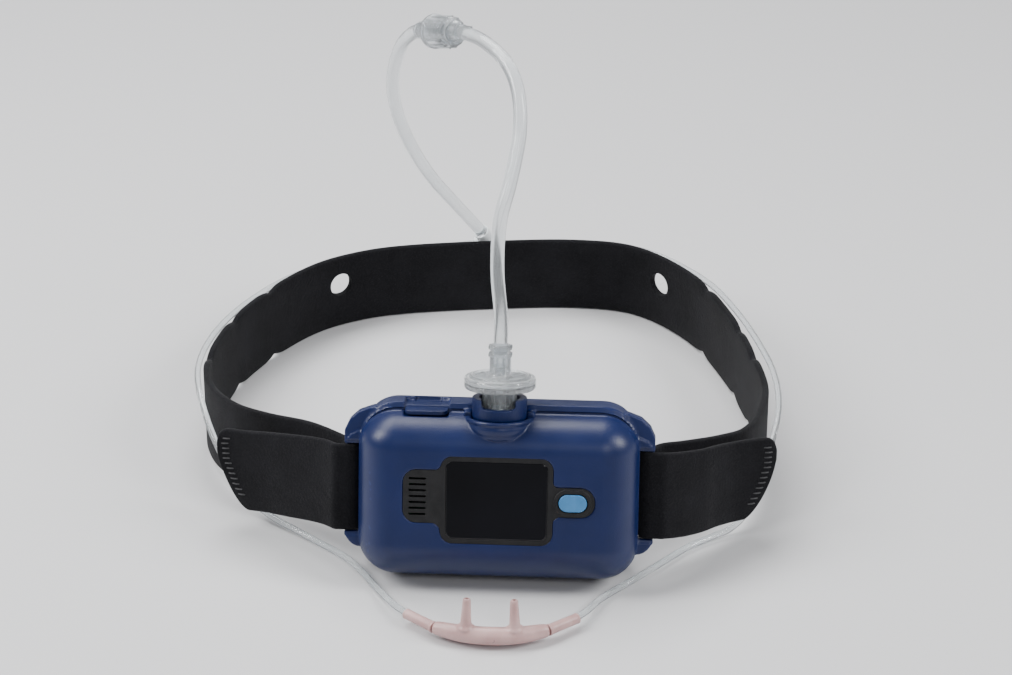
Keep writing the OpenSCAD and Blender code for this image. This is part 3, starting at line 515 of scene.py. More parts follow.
def lathe(name, profile, matrix, sides=72, sharp_angle=30):
    """Turns a closed outline of (radius, height) in millimetres about the Z axis of matrix."""
    rings = len(profile)
    points = []
    for i in range(sides):
        angle = 2 * math.pi * i / sides
        for r, z in profile:
            points.append(matrix @ Vector((r * MM * math.cos(angle), r * MM * math.sin(angle),
                                           z * MM)))
    faces = []
    for i in range(sides):
        j = (i + 1) % sides
        for k in range(rings):
            m = (k + 1) % rings
            faces.append((i * rings + k, j * rings + k, j * rings + m, i * rings + m))
    return mesh_object(name, points, faces, sharp_angle)


def rounded(profile, radius, steps=3):
    """Rounds every corner of a closed outline a little, as moulded parts are."""
    out = []
    count = len(profile)
    for i in range(count):
        before, here, after = (Vector(profile[(i + k) % count]) for k in (-1, 0, 1))
        to_before, to_after = before - here, after - here
        r = min(radius, 0.45 * to_before.length, 0.45 * to_after.length)
        a = here + to_before.normalized() * r
        b = here + to_after.normalized() * r
        for k in range(steps + 1):
            t = k / steps
            out.append(tuple(a * (1 - t) ** 2 + here * 2 * t * (1 - t) + b * t ** 2))
    return out


def frame_along(start, end):
    """A matrix at start whose Z axis points to end."""
    matrix = (Vector(end) - Vector(start)).to_track_quat("Z", "Y").to_matrix().to_4x4()
    matrix.translation = Vector(start)
    return matrix


def joined(name, objects):
    """One object made of several."""
    bm = bmesh.new()
    for obj in objects:
        bm.from_mesh(obj.data)
    mesh = bpy.data.meshes.new(name)
    bm.to_mesh(mesh)
    bm.free()
    for obj in objects:
        bpy.data.objects.remove(obj)
    return add_object(name, mesh)


def applied(obj):
    """Puts an object's modifiers into its mesh."""
    evaluated = obj.evaluated_get(bpy.context.evaluated_depsgraph_get())
    mesh = bpy.data.meshes.new_from_object(evaluated)
    obj.modifiers.clear()
    obj.data = mesh
    return obj


def soften(obj, voxel, passes, sharp_angle=60):
    """Rounds an object's edges over, as a mould leaves them."""
    remesh = obj.modifiers.new("remesh", "REMESH")
    remesh.mode = "VOXEL"
    remesh.voxel_size = voxel
    smooth = obj.modifiers.new("smooth", "SMOOTH")
    smooth.factor = 0.5
    smooth.iterations = passes
    applied(obj)
    shade(obj.data, sharp_angle)
    return obj


def softened(node, voxel, passes, sharp_angle=60):
    """A softened copy of a CAD node."""
    return soften(add_object(node + "_look", NODES[node].data.copy()), voxel, passes, sharp_angle)


# ---------------------------------------------------------------- cords

LOOP_D = 4.5 * MM
THIN_D = 2.2 * MM
HUB_TOP = 49.1


def direction(a, b):
    """The way from a to b."""
    way = np.array(b, float) - np.array(a, float)
    return way / np.linalg.norm(way)


LOCK_START = np.array((-7.5, -9, 157))
LOCK_END = np.array((-23, 11, 149.5))
LOCK_WAY = direction(LOCK_START, LOCK_END)
JUNCTION_AT = np.array((-6, 106, 24.5))
JUNCTION_MOUTH = np.array((-9, 102.5, 31))
JUNCTION_WAY = direction(JUNCTION_AT, JUNCTION_MOUTH)
NOSE_LINE = [(-9, -127, 3.6), (0, -130, 3.6), (9, -131, 3.6), (18, -130, 3.6), (27, -126.5, 3.6)]
SLEEVE_LEFT = np.array((-18.5, -119, 3.2))
SLEEVE_RIGHT = np.array((36, -118.5, 3.2))
NOSE_LEFT = direction(SLEEVE_LEFT, NOSE_LINE[0])
NOSE_RIGHT = direction(SLEEVE_RIGHT, NOSE_LINE[-1])

LINES = {
    "loop_tube_front": catmull([
        on_case(0, -2, HUB_TOP - 3) / MM, on_case(0, -2, HUB_TOP) / MM,
        on_case(0, -2, HUB_TOP + 9) / MM,
        (7.5, -66, 99), (8, -60, 113.5), (11, -54, 125), (13.5, -46, 138.5),
        (12.5, -38, 149), (8, -29, 155.5), (0, -19, 158.5),
        LOCK_START - 1.5 * LOCK_WAY, LOCK_START + 1.5 * LOCK_WAY], 4) * MM,
    "loop_tube_back": catmull([
        LOCK_END - 1.5 * LOCK_WAY, LOCK_END + 1.5 * LOCK_WAY,
        (-30, 22, 140), (-34.5, 34, 124), (-35, 46, 106),
        (-31.5, 60, 86), (-25.5, 74, 67), (-17.5, 88.5, 49),
        JUNCTION_MOUTH + 1.5 * JUNCTION_WAY, JUNCTION_MOUTH - 1.5 * JUNCTION_WAY], 4) * MM,
    "cannula_tube_left": catmull([
        SLEEVE_LEFT + 3 * NOSE_LEFT, SLEEVE_LEFT - 1.2 * NOSE_LEFT,
        (-28.5, -103.5, 1.3), (-40, -85.5, 1.2), (-58.5, -69, 1.2),
        (-74, -57, 3.5), (-88, -43, 15), (-98, -22, 26), (-101.5, 2, 27.5), (-97, 31, 27),
        (-86, 58, 26), (-71.5, 78.5, 25), (-50, 92.5, 24.5), (-28, 99, 24.3),
        (-12.6, 106, 24.5), (-10.5, 106, 24.5)], 4) * MM,
    "cannula_tube_right": catmull([
        SLEEVE_RIGHT + 3 * NOSE_RIGHT, SLEEVE_RIGHT - 1.2 * NOSE_RIGHT,
        (43, -104, 1.3), (55, -90, 1.2), (71.5, -70.5, 1.3), (87, -58.5, 2.8),
        (93.5, -50.5, 11), (98, -40, 22.5), (101, -22, 27.5), (100, 2, 27.5), (95, 26, 27),
        (87, 53, 26), (75.5, 79, 25), (53, 102.5, 24.5), (26, 106.5, 24.3),
        (0.6, 106, 24.5), (-1.5, 106, 24.5)], 4) * MM,
}


def length_of(line):
    return float(np.linalg.norm(np.diff(line, axis=0), axis=1).sum())


def make_cord(node, diameter):
    """A tube along its line, drawn as one smooth spline of 15 to 40 points."""
    line, _ = even(LINES[node], length_of(LINES[node]) / 36)
    data = bpy.data.curves.new(node, "CURVE")
    data.dimensions = "3D"
    data.resolution_u = 6
    spline = data.splines.new("BEZIER")
    spline.bezier_points.add(len(line) - 1)
    for point, at in zip(spline.bezier_points, line):
        point.co = at
        point.handle_left_type = "AUTO"
        point.handle_right_type = "AUTO"
    data.bevel_depth = diameter / 2
    data.bevel_resolution = 7
    data.use_fill_caps = True
    return place(add_object(node + "_look", data), "vinyl", "case", node)


# ---------------------------------------------------------------- luer fittings

PORT = CASE @ Matrix.Translation((0, PORT_DEPTH, 0))


def arc_block(matrix, r0, r1, z0, z1, start, sweep, steps=24):
    """A rounded block that runs part of the way round an axis; angles in degrees."""
    section = rounded([(r0, z0), (r0, z1), (r1, z1), (r1, z0)], 0.22 * (z1 - z0))
    points = []
    for i in range(steps + 1):
        angle = math.radians(start + sweep * i / steps)
        for r, z in section:
            points.append(matrix @ Vector((r * math.cos(angle), r * math.sin(angle), z)))
    return mesh_object("arc", points, loft_faces(steps + 1, len(section)))


def in_mm(matrix):
    """The same place, for points given in millimetres."""
    return matrix @ Matrix.Scale(MM, 4)


def spokes(matrix, count, r0, r1, z0, z1, width):
    """Thin ribs set round an axis."""
    made = []
    sweep = math.degrees(width / ((r0 + r1) / 2))
    for i in range(count):
        made.append(arc_block(in_mm(matrix), r0, r1, z0, z1, 360 * i / count, sweep, 2))
    return made


def filter_piece(name, profile, extras, *nodes):
    """A turned part of the filter, with its ribs and ears."""
    body = lathe(name, rounded(profile, 0.25), PORT, 96)
    piece = joined(name, [body] + extras)
    return place(piece, "clear", "filter", *nodes)


def make_filter():
    """The disc in two halves, with the locking skirt below and the ribbed hub above."""
    base = [(1.3, 24.5), (1.95, 24.5), (2.06, 34.3), (4.3, 34.3), (4.3, 27.95), (5.25, 27.95),
            (5.3, 34.9), (6.4, 35.0), (11.1, 35.0), (11.5, 35.5), (11.5, 36.65), (11.2, 36.8),
            (9.6, 36.8), (9.4, 36.0), (1.3, 36.0)]
    filter_piece("filter_base_look", base,
                 spokes(PORT, 20, 5.15, 5.62, 28.2, 34.4, 0.7)
                 + spokes(PORT, 12, 5.6, 10.6, 34.75, 35.2, 0.5), "filter_base")
    cap = [(1.3, 37.6), (9.4, 37.6), (9.6, 36.95), (11.2, 36.95), (11.5, 37.1), (11.5, 38.2),
           (11.1, 38.8), (9.9, 38.8), (9.5, 39.35), (8.9, 39.35), (8.5, 38.75), (4.2, 38.75),
           (3.5, 39.6), (3.3, 40.4), (3.2, 49.0), (2.35, 49.1), (2.25, 42), (1.3, 41.6)]
    extras = spokes(PORT, 10, 3.1, 3.5, 40, 45.2, 0.55)
    extras += spokes(PORT, 16, 4.4, 8.7, 38.6, 39.0, 0.45)
    for low in (47.75, 45.35):
        for start in (20, 200):
            extras.append(arc_block(in_mm(PORT), 3.0, 4.0, low, low + 1.2, start, 140))
    filter_piece("filter_cap_look", cap, extras, "filter_cap")
    membrane = lathe("membrane_look", rounded(
        [(0.02, 36.78), (10.4, 36.78), (10.4, 37.02), (0.02, 37.02)], 0.08), PORT, 72)
    place(membrane, "membrane", "filter", "filter_membrane")


def make_lock():
    """The luer lock at the top of the loop: male part, turning collar and female part."""
    at = frame_along(LOCK_START * MM, LOCK_END * MM)
    end = float(np.linalg.norm(LOCK_END - LOCK_START))
    male = joined("male_luer_look", [
        lathe("m", rounded([(1.2, 0.1), (2.75, 0.1), (2.9, 3.9), (4.0, 4.0), (4.0, 5.4),
                            (2.06, 5.5), (1.95, 15), (1.2, 15)], 0.25), at, 64)]
        + spokes(at, 8, 2.8, 3.15, 0.4, 3.9, 0.5))
    place(male, "clear", "case", "loop_male_luer")
    wings = [arc_block(in_mm(at), 4.9, 6.2, 2.5, 10.3, start - 8, 16, 4) for start in (0, 180)]
    collar = joined("lock_collar_look", [
        lathe("c", rounded([(2.14, 5.85), (5.1, 5.85), (5.3, 15.4), (5.8, 15.7), (5.8, 17.1),
                            (4.35, 17.15), (4.3, 7.3), (2.14, 7.2)], 0.25), at, 64)]
        + spokes(at, 14, 5.1, 5.55, 6.4, 15.2, 0.6) + wings)
    place(collar, "clear", "lock_collar", "loop_lock_collar")
    female = joined("female_luer_look", [
        lathe("f", rounded([(2.14, 9.7), (2.85, 9.7), (2.9, 18.4), (3.3, 18.8), (3.3, 20.2),
                            (2.9, 20.6), (2.75, end - 0.1), (1.2, end - 0.1), (1.2, 17),
                            (2.0, 16.8)], 0.2), at, 64)]
        + spokes(at, 8, 2.8, 3.15, 20.8, 25.6, 0.5)
        + [arc_block(in_mm(at), 2.6, 3.95, 9.7, 10.85, start, 110) for start in (35, 215)])
    place(female, "clear", "case", "loop_female_luer")
    return [male, collar, female]


def make_junction():
    """The tee behind the strap, where the loop tube splits into the two thin tubes."""
    stem_at = frame_along(JUNCTION_AT * MM, JUNCTION_MOUTH * MM)
    bar_at = frame_along((JUNCTION_AT - np.array((6, 0, 0))) * MM,
                         (JUNCTION_AT + np.array((6, 0, 0))) * MM)
    long = float(np.linalg.norm(JUNCTION_MOUTH - JUNCTION_AT))
    stem = lathe("stem", rounded([(0.02, 0), (2.5, 0), (2.6, 4.6), (2.95, 4.9), (2.95, long - 0.1),
                                  (2.3, long - 0.1), (2.25, 5), (0.02, 5)], 0.25), stem_at, 48)
    bar = lathe("bar", rounded([(0.02, 1.5), (1.15, 1.5), (1.2, 0.1), (2.2, 0.1), (2.3, 1.6),
                                (2.0, 2.2), (2.0, 9.8), (2.3, 10.4), (2.2, 11.9), (1.2, 11.9),
                                (1.15, 10.5), (0.02, 10.5)], 0.2), bar_at, 48)
    piece = joined("junction_look", [stem, bar])
    return place(piece, "white", "case", "tube_junction")


# ---------------------------------------------------------------- nosepiece

SLEEVE_D = 3.6


def make_sleeve(node, start, end):
    """The soft sleeve where a thin tube joins the nosepiece."""
    long = float(np.linalg.norm(np.array(end) - start))
    at = frame_along(start * MM, Vector(end) * MM)
    r = SLEEVE_D / 2
    profile = [(1.12, 0.1), (r - 0.1, 0.02), (r, 0.35), (r - 0.12, 0.9), (r - 0.05, long - 1.1),
               (r + 0.12, long - 0.6), (r + 0.1, long), (1.12, long)]
    return place(lathe(node + "_look", rounded(profile, 0.15), at, 48), "pink", "case", node)


def swept_tube(name, line, radii, sides=28, flat=None):
    """A round or flattened tube along a line, with a radius at every point."""
    points = []
    for i, (at, r) in enumerate(zip(line, radii)):
        way = way_at(line, i)
        side = way.orthogonal().normalized() if abs(way.z) > 0.9 else \
            way.cross(Vector((0, 0, 1))).normalized()
        top = side.cross(way)
        for k in range(sides):
            angle = 2 * math.pi * k / sides
            low = flat[i] if flat is not None and math.sin(angle) < 0 else 1
            points.append(Vector(at) + side * r * math.cos(angle)
                          + top * r * math.sin(angle) * low)
    return mesh_object(name, points, loft_faces(len(line), sides))


def make_nosepiece():
    """A bowed soft body with two hollow prongs."""
    line, at = even(catmull(NOSE_LINE, 10) * MM, 0.8 * MM)
    share = at / at[-1]
    bulge = np.sin(np.pi * share) ** 0.55
    radii = (1.9 + 1.15 * bulge) * MM
    flat = 1 - 0.12 * bulge
    body = swept_tube("body", line, radii, 32, flat)
    parts = [body]
    prongs = [((1.2, -130, 3.6), (1.6, -128.4, 16)), ((16.8, -130, 3.6), (16.4, -128.4, 16))]
    holes = []
    side = np.array((0, -0.5, 0))
    rise = np.linspace(0, 1, 15)
    for start, end in prongs:
        way = direction(start, end)
        bow = np.sin(np.pi * rise)[:, None] * side
        prong = (np.array(start) + (np.array(end) - start) * rise[:, None] + bow) * MM
        width = (2.05 - 0.75 * rise ** 0.9 + 1.1 * np.exp(-((rise - 0.2) / 0.07) ** 2)) * MM
        width[-1] *= 0.8
        parts.append(swept_tube("prong", prong, width, 24))
        holes.append((prong[-1], way))
    piece = joined("nosepiece_look", parts)
    soften(piece, 0.28 * MM, 5)
    for tip, way in holes:
        at = frame_along(Vector(tip) - Vector(way) * 5 * MM, Vector(tip) + Vector(way) * 2 * MM)
        drill = lathe("drill", [(0.01, 0), (0.8, 0), (0.8, 9), (0.01, 9)], at, 24)
        cut(piece, drill)
    soften(piece, 0.2 * MM, 4, 50)
    return place(piece, "pink", "case", "nosepiece")


def cut(obj, tool, operation="DIFFERENCE"):
    """Takes the tool's shape out of an object, or with INTERSECT keeps only what is in it."""
    boolean = obj.modifiers.new("cut", "BOOLEAN")
    boolean.operation = operation
    boolean.solver = "EXACT"
    boolean.object = tool
    applied(obj)
    bpy.data.objects.remove(tool)


# ---------------------------------------------------------------- case

HALF_W, HALF_H, FRONT_D, BACK_D = 45, 27.5, 12, 15.5
DOOR_X, DOOR_W = -23.5, 13.8
DOOR_CORNER = 2.8
PORT_R = 10.2
BEAD_R, BEAD_Y = 0.48, -0.55
TONGUE_R, TONGUE_BACK, TONGUE_INSET = 1.0, 0.75, 1.3
# How far the front's top rim and the flap's lip sink, and the back's top edge stands up
RIM_DROP, RIM_FROM = 1.2, 14
LIP_DROP, LIP_RUN = 0.9, 1.6
HUMP, HUMP_FROM, HUMP_RISE = 1.5, 18, 8
STEP_Y, STEP_RUN = 0.2, 0.8
# The boss under the port: a bowl with a lip round its top
BOWL_AT = PORT @ Matrix.Translation((0, -0.8 * MM, 0))
BOWL_R, BOWL_DEPTH, BOWL_Z = 10.5, 6.1, 23.4
BOWL_LIP = [(0.02, 24.6), (9.0, 24.6), (9.1, 25.5), (9.8, 25.95), (10.6, 25.7), (10.75, 24.9),
            (10.2, 24.3)]
BOSS_TOP = 24.55
# The webs of a lug above and below the strap, as (x, z), and how deep they run
HORN = [(44.4, 14.65), (50.2, 14.65), (50.2, 19), (48.6, 21.8), (45.6, 24), (40.5, 25.6),
        (38, 20)]
FOOT = [(44.4, -16.2), (50.2, -16.2), (50.2, -14.65), (44.4, -14.65)]
LUG_YS = (1, 5.6)


def parting_beads():
    """The raised line round the front shell's rim, and the tongue that fills the seam behind it.

    Both are left out at the flap and the port.
    """
    outline = []
    for turn, (sx, sz) in enumerate(((1, 1), (-1, 1), (-1, -1), (1, -1))):
        for i in range(13):
            angle = math.radians(90 * turn + 90 * i / 12)
            outline.append((sx * (HALF_W - FRONT_D) + (FRONT_D - 0.1) * math.cos(angle),
                            sz * (HALF_H - FRONT_D) + (FRONT_D - 0.1) * math.sin(angle)))
    outline.append(outline[0])
    dense, _ = even(np.array([(x, z, 0) for x, z in outline]), 0.8)
    runs, run = [], []
    for x, z, _ in dense:
        at_door = z > 20 and abs(x - DOOR_X) < DOOR_W / 2 + 0.9
        at_port = z > 20 and abs(x) < PORT_R + 0.4
        if at_door or at_port:
            if len(run) > 3:
                runs.append(run)
            run = []
        else:
            run.append(on_case(x, BEAD_Y, z))
    runs.append(run)
    beads = []
    middle = on_case(0, 0, 0)
    for run in runs:
        line = np.array([tuple(p) for p in run])
        beads.append(swept_tube("bead", line, [BEAD_R * MM] * len(line), 12))
        inner = [p + BACK * TONGUE_BACK * MM - (p - middle).normalized() * TONGUE_INSET * MM
                 for p in run]
        tongue = np.array([tuple(p) for p in inner])
        beads.append(swept_tube("tongue", tongue, [TONGUE_R * MM] * len(tongue), 12))
    return beads


def ease(value):
    """A smooth step from 0 to 1."""
    value = min(max(value, 0), 1)
    return value * value * (3 - 2 * value)


def reshape(obj, move):
    """Moves each point of an object up the case by what move gives for its place there."""
    to_case = CASE.inverted()
    for vertex in obj.data.vertices:
        x, y, z = to_case @ vertex.co / MM
        vertex.co += UP * move(x, y, z) * MM


def bowl_side(radius, depth):
    """The rounded underside of the boss, from its rim in to its middle."""
    turns = [math.pi / 2 * i / 12 for i in range(13)]
    return [(max(radius * math.cos(a), 0.02), BOWL_Z - depth * math.sin(a)) for a in turns]


def port_bowl():
    """The boss under the port, rounded like a bowl and with a lip round its top."""
    return lathe("bowl", BOWL_LIP + bowl_side(BOWL_R, BOWL_DEPTH), BOWL_AT, 96)


def face_out(obj):
    """Joins an object's doubled points and turns its faces outward."""
    mesh = bmesh.new()
    mesh.from_mesh(obj.data)
    bmesh.ops.remove_doubles(mesh, verts=mesh.verts, dist=0.001 * MM)
    bmesh.ops.recalc_face_normals(mesh, faces=mesh.faces)
    mesh.to_mesh(obj.data)
    mesh.free()


def carve_boss(shell):
    """Takes the straight boss back to the bowl, and leaves the shell's own rounded front."""
    to_case = CASE.inverted()
    body = bmesh.new()
    for vertex in shell.data.vertices:
        x, y, z = to_case @ vertex.co / MM
        beside_boss = math.hypot(x, y - PORT_Y) > PORT_R + 0.5
        if beside_boss and z < HALF_H - 0.01:
            body.verts.new(vertex.co)
    hull = bmesh.ops.convex_hull(body, input=body.verts)
    spare = [g for g in hull["geom_interior"] if isinstance(g, bmesh.types.BMVert)]
    bmesh.ops.delete(body, geom=spare, context="VERTS")
    bmesh.ops.recalc_face_normals(body, faces=body.faces)
    mesh = bpy.data.meshes.new("body")
    body.to_mesh(mesh)
    body.free()
    reach = BOWL_R + 2
    below = [(0.02, 10), (reach, 10), (reach, BOSS_TOP), (BOWL_R + 0.4, BOSS_TOP)]
    ring = lathe("ring", below + bowl_side(10.4, 6.0), BOWL_AT, 96)
    face_out(ring)
    face_out(shell)
    cut(ring, add_object("body", mesh))
    cut(shell, ring)


def prism(name, start, end):
    """A solid between two outlines with the same number of points."""
    return mesh_object(name, start + end, loft_faces(2, len(start)))


def make_door():
    """The flap over the socket, with its front corners rounded in plan."""
    flap = add_object("port_door_look", NODES["port_door"].data.copy())
    left, right = DOOR_X - DOOR_W / 2, DOOR_X + DOOR_W / 2
    plan = rounded([(left, -4.2), (right, -4.2), (right, 12), (left, 12)], DOOR_CORNER, 8)
    low, high = ([on_case(x, y, z) for x, y in plan] for z in (20, 35))
    cut(flap, prism("plan", low, high), "INTERSECT")
    reshape(flap, lambda x, y, z: -LIP_DROP * ease((LIP_RUN - y) / LIP_RUN))
    soften(flap, 0.15 * MM, 4)
    return place(flap, "blue", "door", "port_door")


def lug_web(side, outline):
    """A web that closes an end of a strap slot down to the strap's edge."""
    front, back = ([on_case(side * x, y, z) for x, z in outline] for y in LUG_YS)
    web = prism("lug", front, back)
    face_out(web)
    return web


def make_case():
    """The two shells and what shows on them, each softened from its CAD part."""
    shell = add_object("front_copy", NODES["front_shell"].data.copy())
    carve_boss(shell)
    rim = joined("rim", [shell] + parting_beads())
    reshape(rim, lambda x, y, z: -RIM_DROP * ease((z - RIM_FROM) / (HALF_H - RIM_FROM)))
    both = joined("front_shell_look", [rim, port_bowl()])
    soften(both, 0.3 * MM, 3)
    place(both, "blue", "case", "front_shell")
    pieces = [add_object("back_copy", NODES["back_shell"].data.copy()),
              arc_block(PORT, 8.75 * MM, 11.6 * MM, 22 * MM, 27.4 * MM, -8, 196)]
    for side in (-1, 1):
        pieces += [lug_web(side, HORN), lug_web(side, FOOT)]
    back = soften(joined("back_shell_look", pieces), 0.36 * MM, 3)
    reshape(back, lambda x, y, z: HUMP * ease((z - HUMP_FROM) / HUMP_RISE)
            * ease((y - STEP_Y) / STEP_RUN))
    place(back, "blue", "case", "back_shell")
    place(softened("port_collar", 0.22 * MM, 4), "blue", "case", "port_collar")
    make_door()
    place(softened("window_bezel", 0.13 * MM, 1, 40), "black", "case", "window_bezel")
    place(softened("power_button", 0.14 * MM, 7), "button", "button", "power_button")
    place(softened("display_lens", 0.2 * MM, 2, 40), "pane", "case", "display_lens")
    place(softened("pulse_sensor_window", 0.2 * MM, 4), "red", "case", "pulse_sensor_window")
    place(softened("microphone_foam", 0.2 * MM, 5), "foam", "case", "microphone_foam")


def make_pad(node, x):
    """A foam pad with a crowned face and rolled edges."""
    wide, high, thick, corner = 11.0, 30.0, 2.15, 4.0
    rows, turns = 12, 72
    points = []
    for row in range(rows + 1):
        share = row / rows
        inset = (1 - math.cos(share * math.pi / 2)) * 3.2
        depth = BACK_D + 0.05 + thick * (0.12 + 0.88 * math.sin(share * math.pi / 2) ** 0.6)
        if row == 0:
            depth = BACK_D + 0.05
        for k in range(turns):
            angle = 2 * math.pi * k / turns
            px = (wide / 2 - corner) * (1 if math.cos(angle) > 0 else -1)
            pz = (high / 2 - corner) * (1 if math.sin(angle) > 0 else -1)
            r = corner - inset
            points.append(on_case(x + px + r * math.cos(angle), depth, pz + r * math.sin(angle)))
    pad = mesh_object(node + "_look", points, loft_faces(rows + 1, turns), 60)
    place(pad, "foam", "case", node)


# ---------------------------------------------------------------- strap

STRAP_W, STRAP_T = 28.7, 2.4
LOW_Z = STRAP_W / 2 + 0.15
LEAN = 16.6
TAIL_X, TAIL_Y = 52.2, 1.5


def strap_place(x, y):
    """A point of a strap's line that leans with the case."""
    return (*(on_case(x, y, 0) / MM), LEAN)


RING = [(-43.5, -73.5, 26, 16), (-55.5, -62, 24, 14), (-70.5, -52, 21.4, 10),
        (-83.5, -39.8, 18.6, 6), (-94, -22, 16, 3), (-98.3, 0, LOW_Z, 0), (-94, 29, LOW_Z, 0),
        (-83.5, 54.5, LOW_Z, 0), (-70, 74.5, LOW_Z, 0), (-55, 86, LOW_Z, 0),
        (-37, 93, LOW_Z, 0), (-6, 98.5, LOW_Z, 0), (27, 101.5, LOW_Z, 0), (51, 96.5, LOW_Z, 0),
        (71.5, 75, LOW_Z, 0), (84, 47, LOW_Z, 0), (91.5, 20, LOW_Z, 0), (96.5, -8, 15, 1),
        (94.5, -31, 17, 5), (89, -49.5, 19.8, 9), (80.5, -60, 22.3, 12),
        (69.5, -68.2, 24.4, 15), (61.5, -73.5, 26, 16)]
FOLD = [(52.3, 1.5), (48.4, 1.5), (47.275, 1.805), (46.45, 2.55), (46.35, 3.4),
        (46.35, 5.6), (46.45, 6.45), (47.275, 7.195), (48.4, 7.5)]
LEFT_TAIL = [(-48, -80.9, 28.1, 16), (-53.5, -76.7, 26.7, 15), (-62, -70.8, 24.2, 12),
             (-69, -66, 22.2, 9), (-76, -62.3, 20.5, 7), (-82.4, -59.3, 19.5, 6),
             (-86.5, -58.5, 19, 6)]
RIGHT_TAIL = [(65.5, -82.3, 27.8, 16), (70, -78.6, 26.4, 15), (75, -73.5, 24.7, 12),
              (79.5, -67.6, 23, 10), (84.8, -62, 21.3, 8), (91, -57.8, 20.3, 7),
              (99, -54, 19.3, 6)]
NOTCHES = [(-95, 2), (-92, 30), (-84, 55), (92, 14), (87, 34), (78, 65)]
NOTCH_DEEP, NOTCH_HALF = 1.7, 8
EYELETS = [(-61, 82, 35), (60, 89, -42)]
EYELET_R = 4.5
STITCH_LONG, STITCH_STEP, STITCH_R = 2.7, 1.8, 0.24


def lean_up(degrees):
    """The way up along a strap that leans back so far."""
    return Vector((0, math.sin(math.radians(degrees)), math.cos(math.radians(degrees))))


def ribbon(name, line, top, bottom, thick):
    """A flat strap with rolled edges. top and bottom are its reach above and below the line."""
    half = thick / 2
    roll = [(math.cos(a), math.sin(a)) for a in np.linspace(math.pi / 2, -math.pi / 2, 7)]
    across = 6
    points = []
    for i in range(len(line)):
        up = lean_up(line[i][3])
        out = way_at(line, i).cross(up).normalized()
        at = Vector(line[i][:3])
        section = []
        soft = half * 0.75
        for face in (1, -1):
            ends = (-bottom[i] + soft, top[i] - soft)
            for k in range(across + 1):
                v = ends[0] + (ends[1] - ends[0]) * k / across
                section.append((v if face > 0 else ends[0] + ends[1] - v, face * half))
            rim = top[i] - soft if face > 0 else -bottom[i] + soft
            for c, h in roll[1:-1]:
                section.append((rim + face * soft * c, face * half * h))
        for v, d in section:
            points.append(at + up * v + out * d)
    faces = loft_faces(len(line), len(points) // len(line))
    return mesh_object(name, [p * MM for p in points], faces, 75)


def band_line():
    """The middle line of the strap's ring, from one lug round the head to the other."""
    fold_left = [strap_place(-x, y) for x, y in FOLD]
    fold_right = [strap_place(x, y) for x, y in reversed(FOLD)]
    loop = catmull([strap_place(-49.05, 7.6)] + RING + [strap_place(49.05, 7.6)], 6)
    return even(np.array(fold_left + list(map(tuple, loop)) + fold_right), 1.6)


def make_band():
    """The strap's ring, with shallow notches along its edges and two eyelets."""
    line, along = band_line()
    drop = np.zeros(len(line))
    for x, y in NOTCHES:
        near = along[np.linalg.norm(line[:, :2] - (x, y), axis=1).argmin()]
        share = np.clip(1 - np.abs(along - near) / NOTCH_HALF, 0, 1)
        drop = np.maximum(drop, NOTCH_DEEP * share ** 2.2)
    reach = STRAP_W / 2 - drop
    band = ribbon("strap_band_look", line, reach, reach, STRAP_T)
    for x, y, turn in EYELETS:
        way = Vector((-math.sin(math.radians(turn)), math.cos(math.radians(turn)), 0))
        at = Vector((x, y, LOW_Z + 3)) * MM
        cut(band, lathe("punch", [(0.01, -12), (EYELET_R, -12), (EYELET_R, 12), (0.01, 12)],
                        frame_along(at, at + way), 48))
    shade(band.data, 75)
    place(band, "fabric", "case", "strap_band")


def tail_line(side, route):
    """The middle line of a tail, from its fold at the lug to its end."""
    line = catmull([strap_place(side * (TAIL_X + 0.9), TAIL_Y)] + route, 6)
    start = np.array([strap_place(side * (TAIL_X - 0.1), TAIL_Y)])
    return even(np.concatenate([start, line]), 0.7)


def tail_reach(left):
    """How far a tail reaches above and below its line, so far from its end."""
    half = STRAP_W / 2
    top = half - 3.5 + math.sqrt(max(3.5 ** 2 - max(3.5 - left, 0) ** 2, 0.01))
    share = max(1 - left / 11.5, 0)
    bottom = half - 21 * (1 - (1 - min(share, 0.995) ** 1.5) ** (1 / 1.5))
    return top, bottom


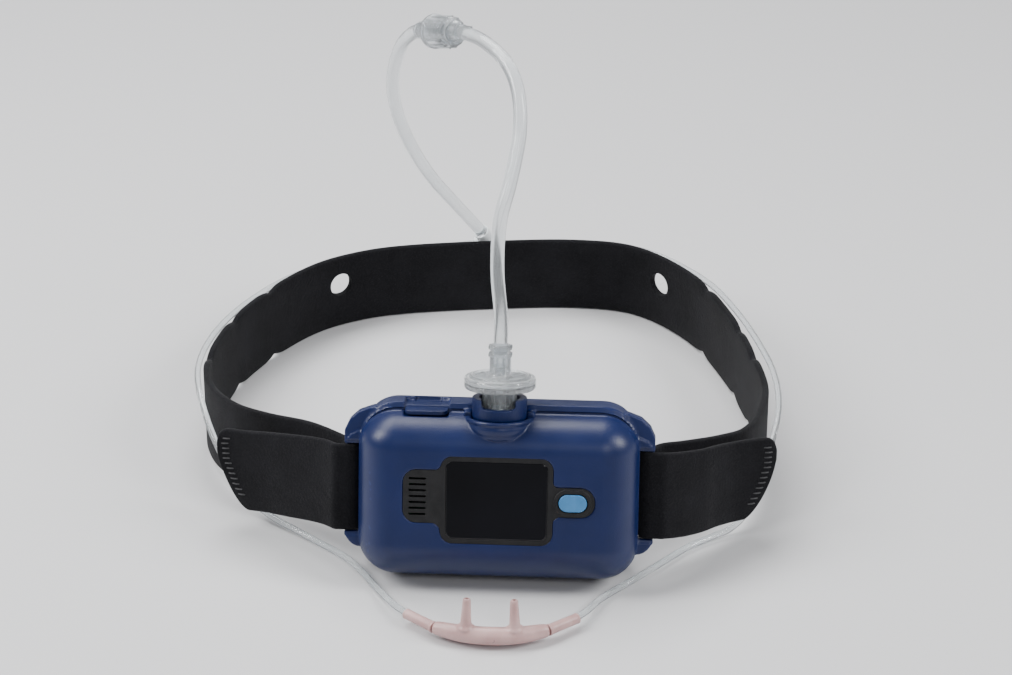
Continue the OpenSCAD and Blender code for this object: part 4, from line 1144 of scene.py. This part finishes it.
def make_tail(node, side, route, stitch_seed):
    """A strap tail with a rounded end and a row of stitches along it on both faces."""
    line, along = tail_line(side, route)
    reach = [tail_reach(along[-1] - at) for at in along]
    tail = ribbon(node + "_look", line, [r[0] for r in reach], [r[1] for r in reach], STRAP_T)
    place(tail, "fabric", "left_tail" if side < 0 else "right_tail", node)
    stitches = []
    rng = np.random.default_rng(stitch_seed)
    for level in np.arange(-8.5, 11.5, STITCH_STEP):
        inside = next(left for left in np.arange(0.2, 20, 0.2)
                      if tail_reach(left)[1] > -level + 1.2 and tail_reach(left)[0] > level + 1.2)
        for face in (1, -1):
            start = along[-1] - inside - 4.3 + rng.uniform(-0.2, 0.2)
            ends = []
            for reach_on in np.linspace(start, start + STITCH_LONG, 6):
                at = np.array([np.interp(reach_on, along, line[:, k]) for k in range(4)])
                ahead = np.array([np.interp(reach_on + 0.5, along, line[:, k]) for k in range(4)])
                up = lean_up(at[3])
                out = Vector(ahead[:3] - at[:3]).normalized().cross(up).normalized()
                share = (reach_on - start) / STITCH_LONG
                proud = STRAP_T / 2 + 0.28 * math.sin(math.pi * share) - 0.08
                ends.append((Vector(at[:3]) + up * float(level) + out * face * proud) * MM)
            stitches.append(swept_tube("stitch", np.array([tuple(e) for e in ends]),
                                       [STITCH_R * MM] * len(ends), 8))
    sewing = joined(node + "_stitches", stitches)
    sewing.data.materials.clear()
    place(sewing, "thread", "left_tail" if side < 0 else "right_tail")


def make_hook_tape(node, side, route):
    """The stiff hook tape sewn to a tail's inner face, with rounded ends."""
    line, along = tail_line(side, route)
    kept = (along > 11.5) & (along < along[-1] - 5.5)
    line, along = line[kept], along[kept]
    moved = []
    for i, at in enumerate(line):
        out = way_at(line, i).cross(lean_up(at[3])).normalized()
        out *= -side * (STRAP_T / 2 + 0.5)
        moved.append((*(Vector(at[:3]) + out), at[3]))
    moved = np.array(moved)
    half = STRAP_W / 2 - 5
    reach = []
    for at in along:
        left = min(at - along[0], along[-1] - at)
        reach.append(half - 2 + math.sqrt(max(4 - max(2 - left, 0) ** 2, 0.04)))
    tape = ribbon(node + "_look", moved, reach, reach, 0.8)
    place(tape, "hooks", "left_tail" if side < 0 else "right_tail", node)


# ---------------------------------------------------------------- putting it together

make_case()
make_pad("forehead_pad_left", -27)
make_pad("forehead_pad_right", 33)
make_band()
make_tail("strap_tail_left", -1, LEFT_TAIL, 3)
make_tail("strap_tail_right", 1, RIGHT_TAIL, 4)
make_hook_tape("hook_tab_left", -1, LEFT_TAIL)
make_hook_tape("hook_tab_right", 1, RIGHT_TAIL)
make_filter()
lock_pieces = make_lock()
junction = make_junction()
nosepiece = make_nosepiece()
sleeve_left = make_sleeve("cannula_sleeve_left", SLEEVE_LEFT, NOSE_LINE[0])
sleeve_right = make_sleeve("cannula_sleeve_right", SLEEVE_RIGHT, NOSE_LINE[-1])

CORDS = [
    ("loop_tube_front", LOOP_D, 0, "connector", "stiff", lock_pieces),
    ("loop_tube_back", LOOP_D, 0, "fitting", "stiff", [junction]),
    ("cannula_tube_left", THIN_D, -1, "fitting", "medium", [sleeve_left, nosepiece]),
    ("cannula_tube_right", THIN_D, -1, "fitting", "medium", [sleeve_right]),
]
for node, diameter, end, far_end, stiffness, fittings in CORDS:
    make_cord(node, diameter)
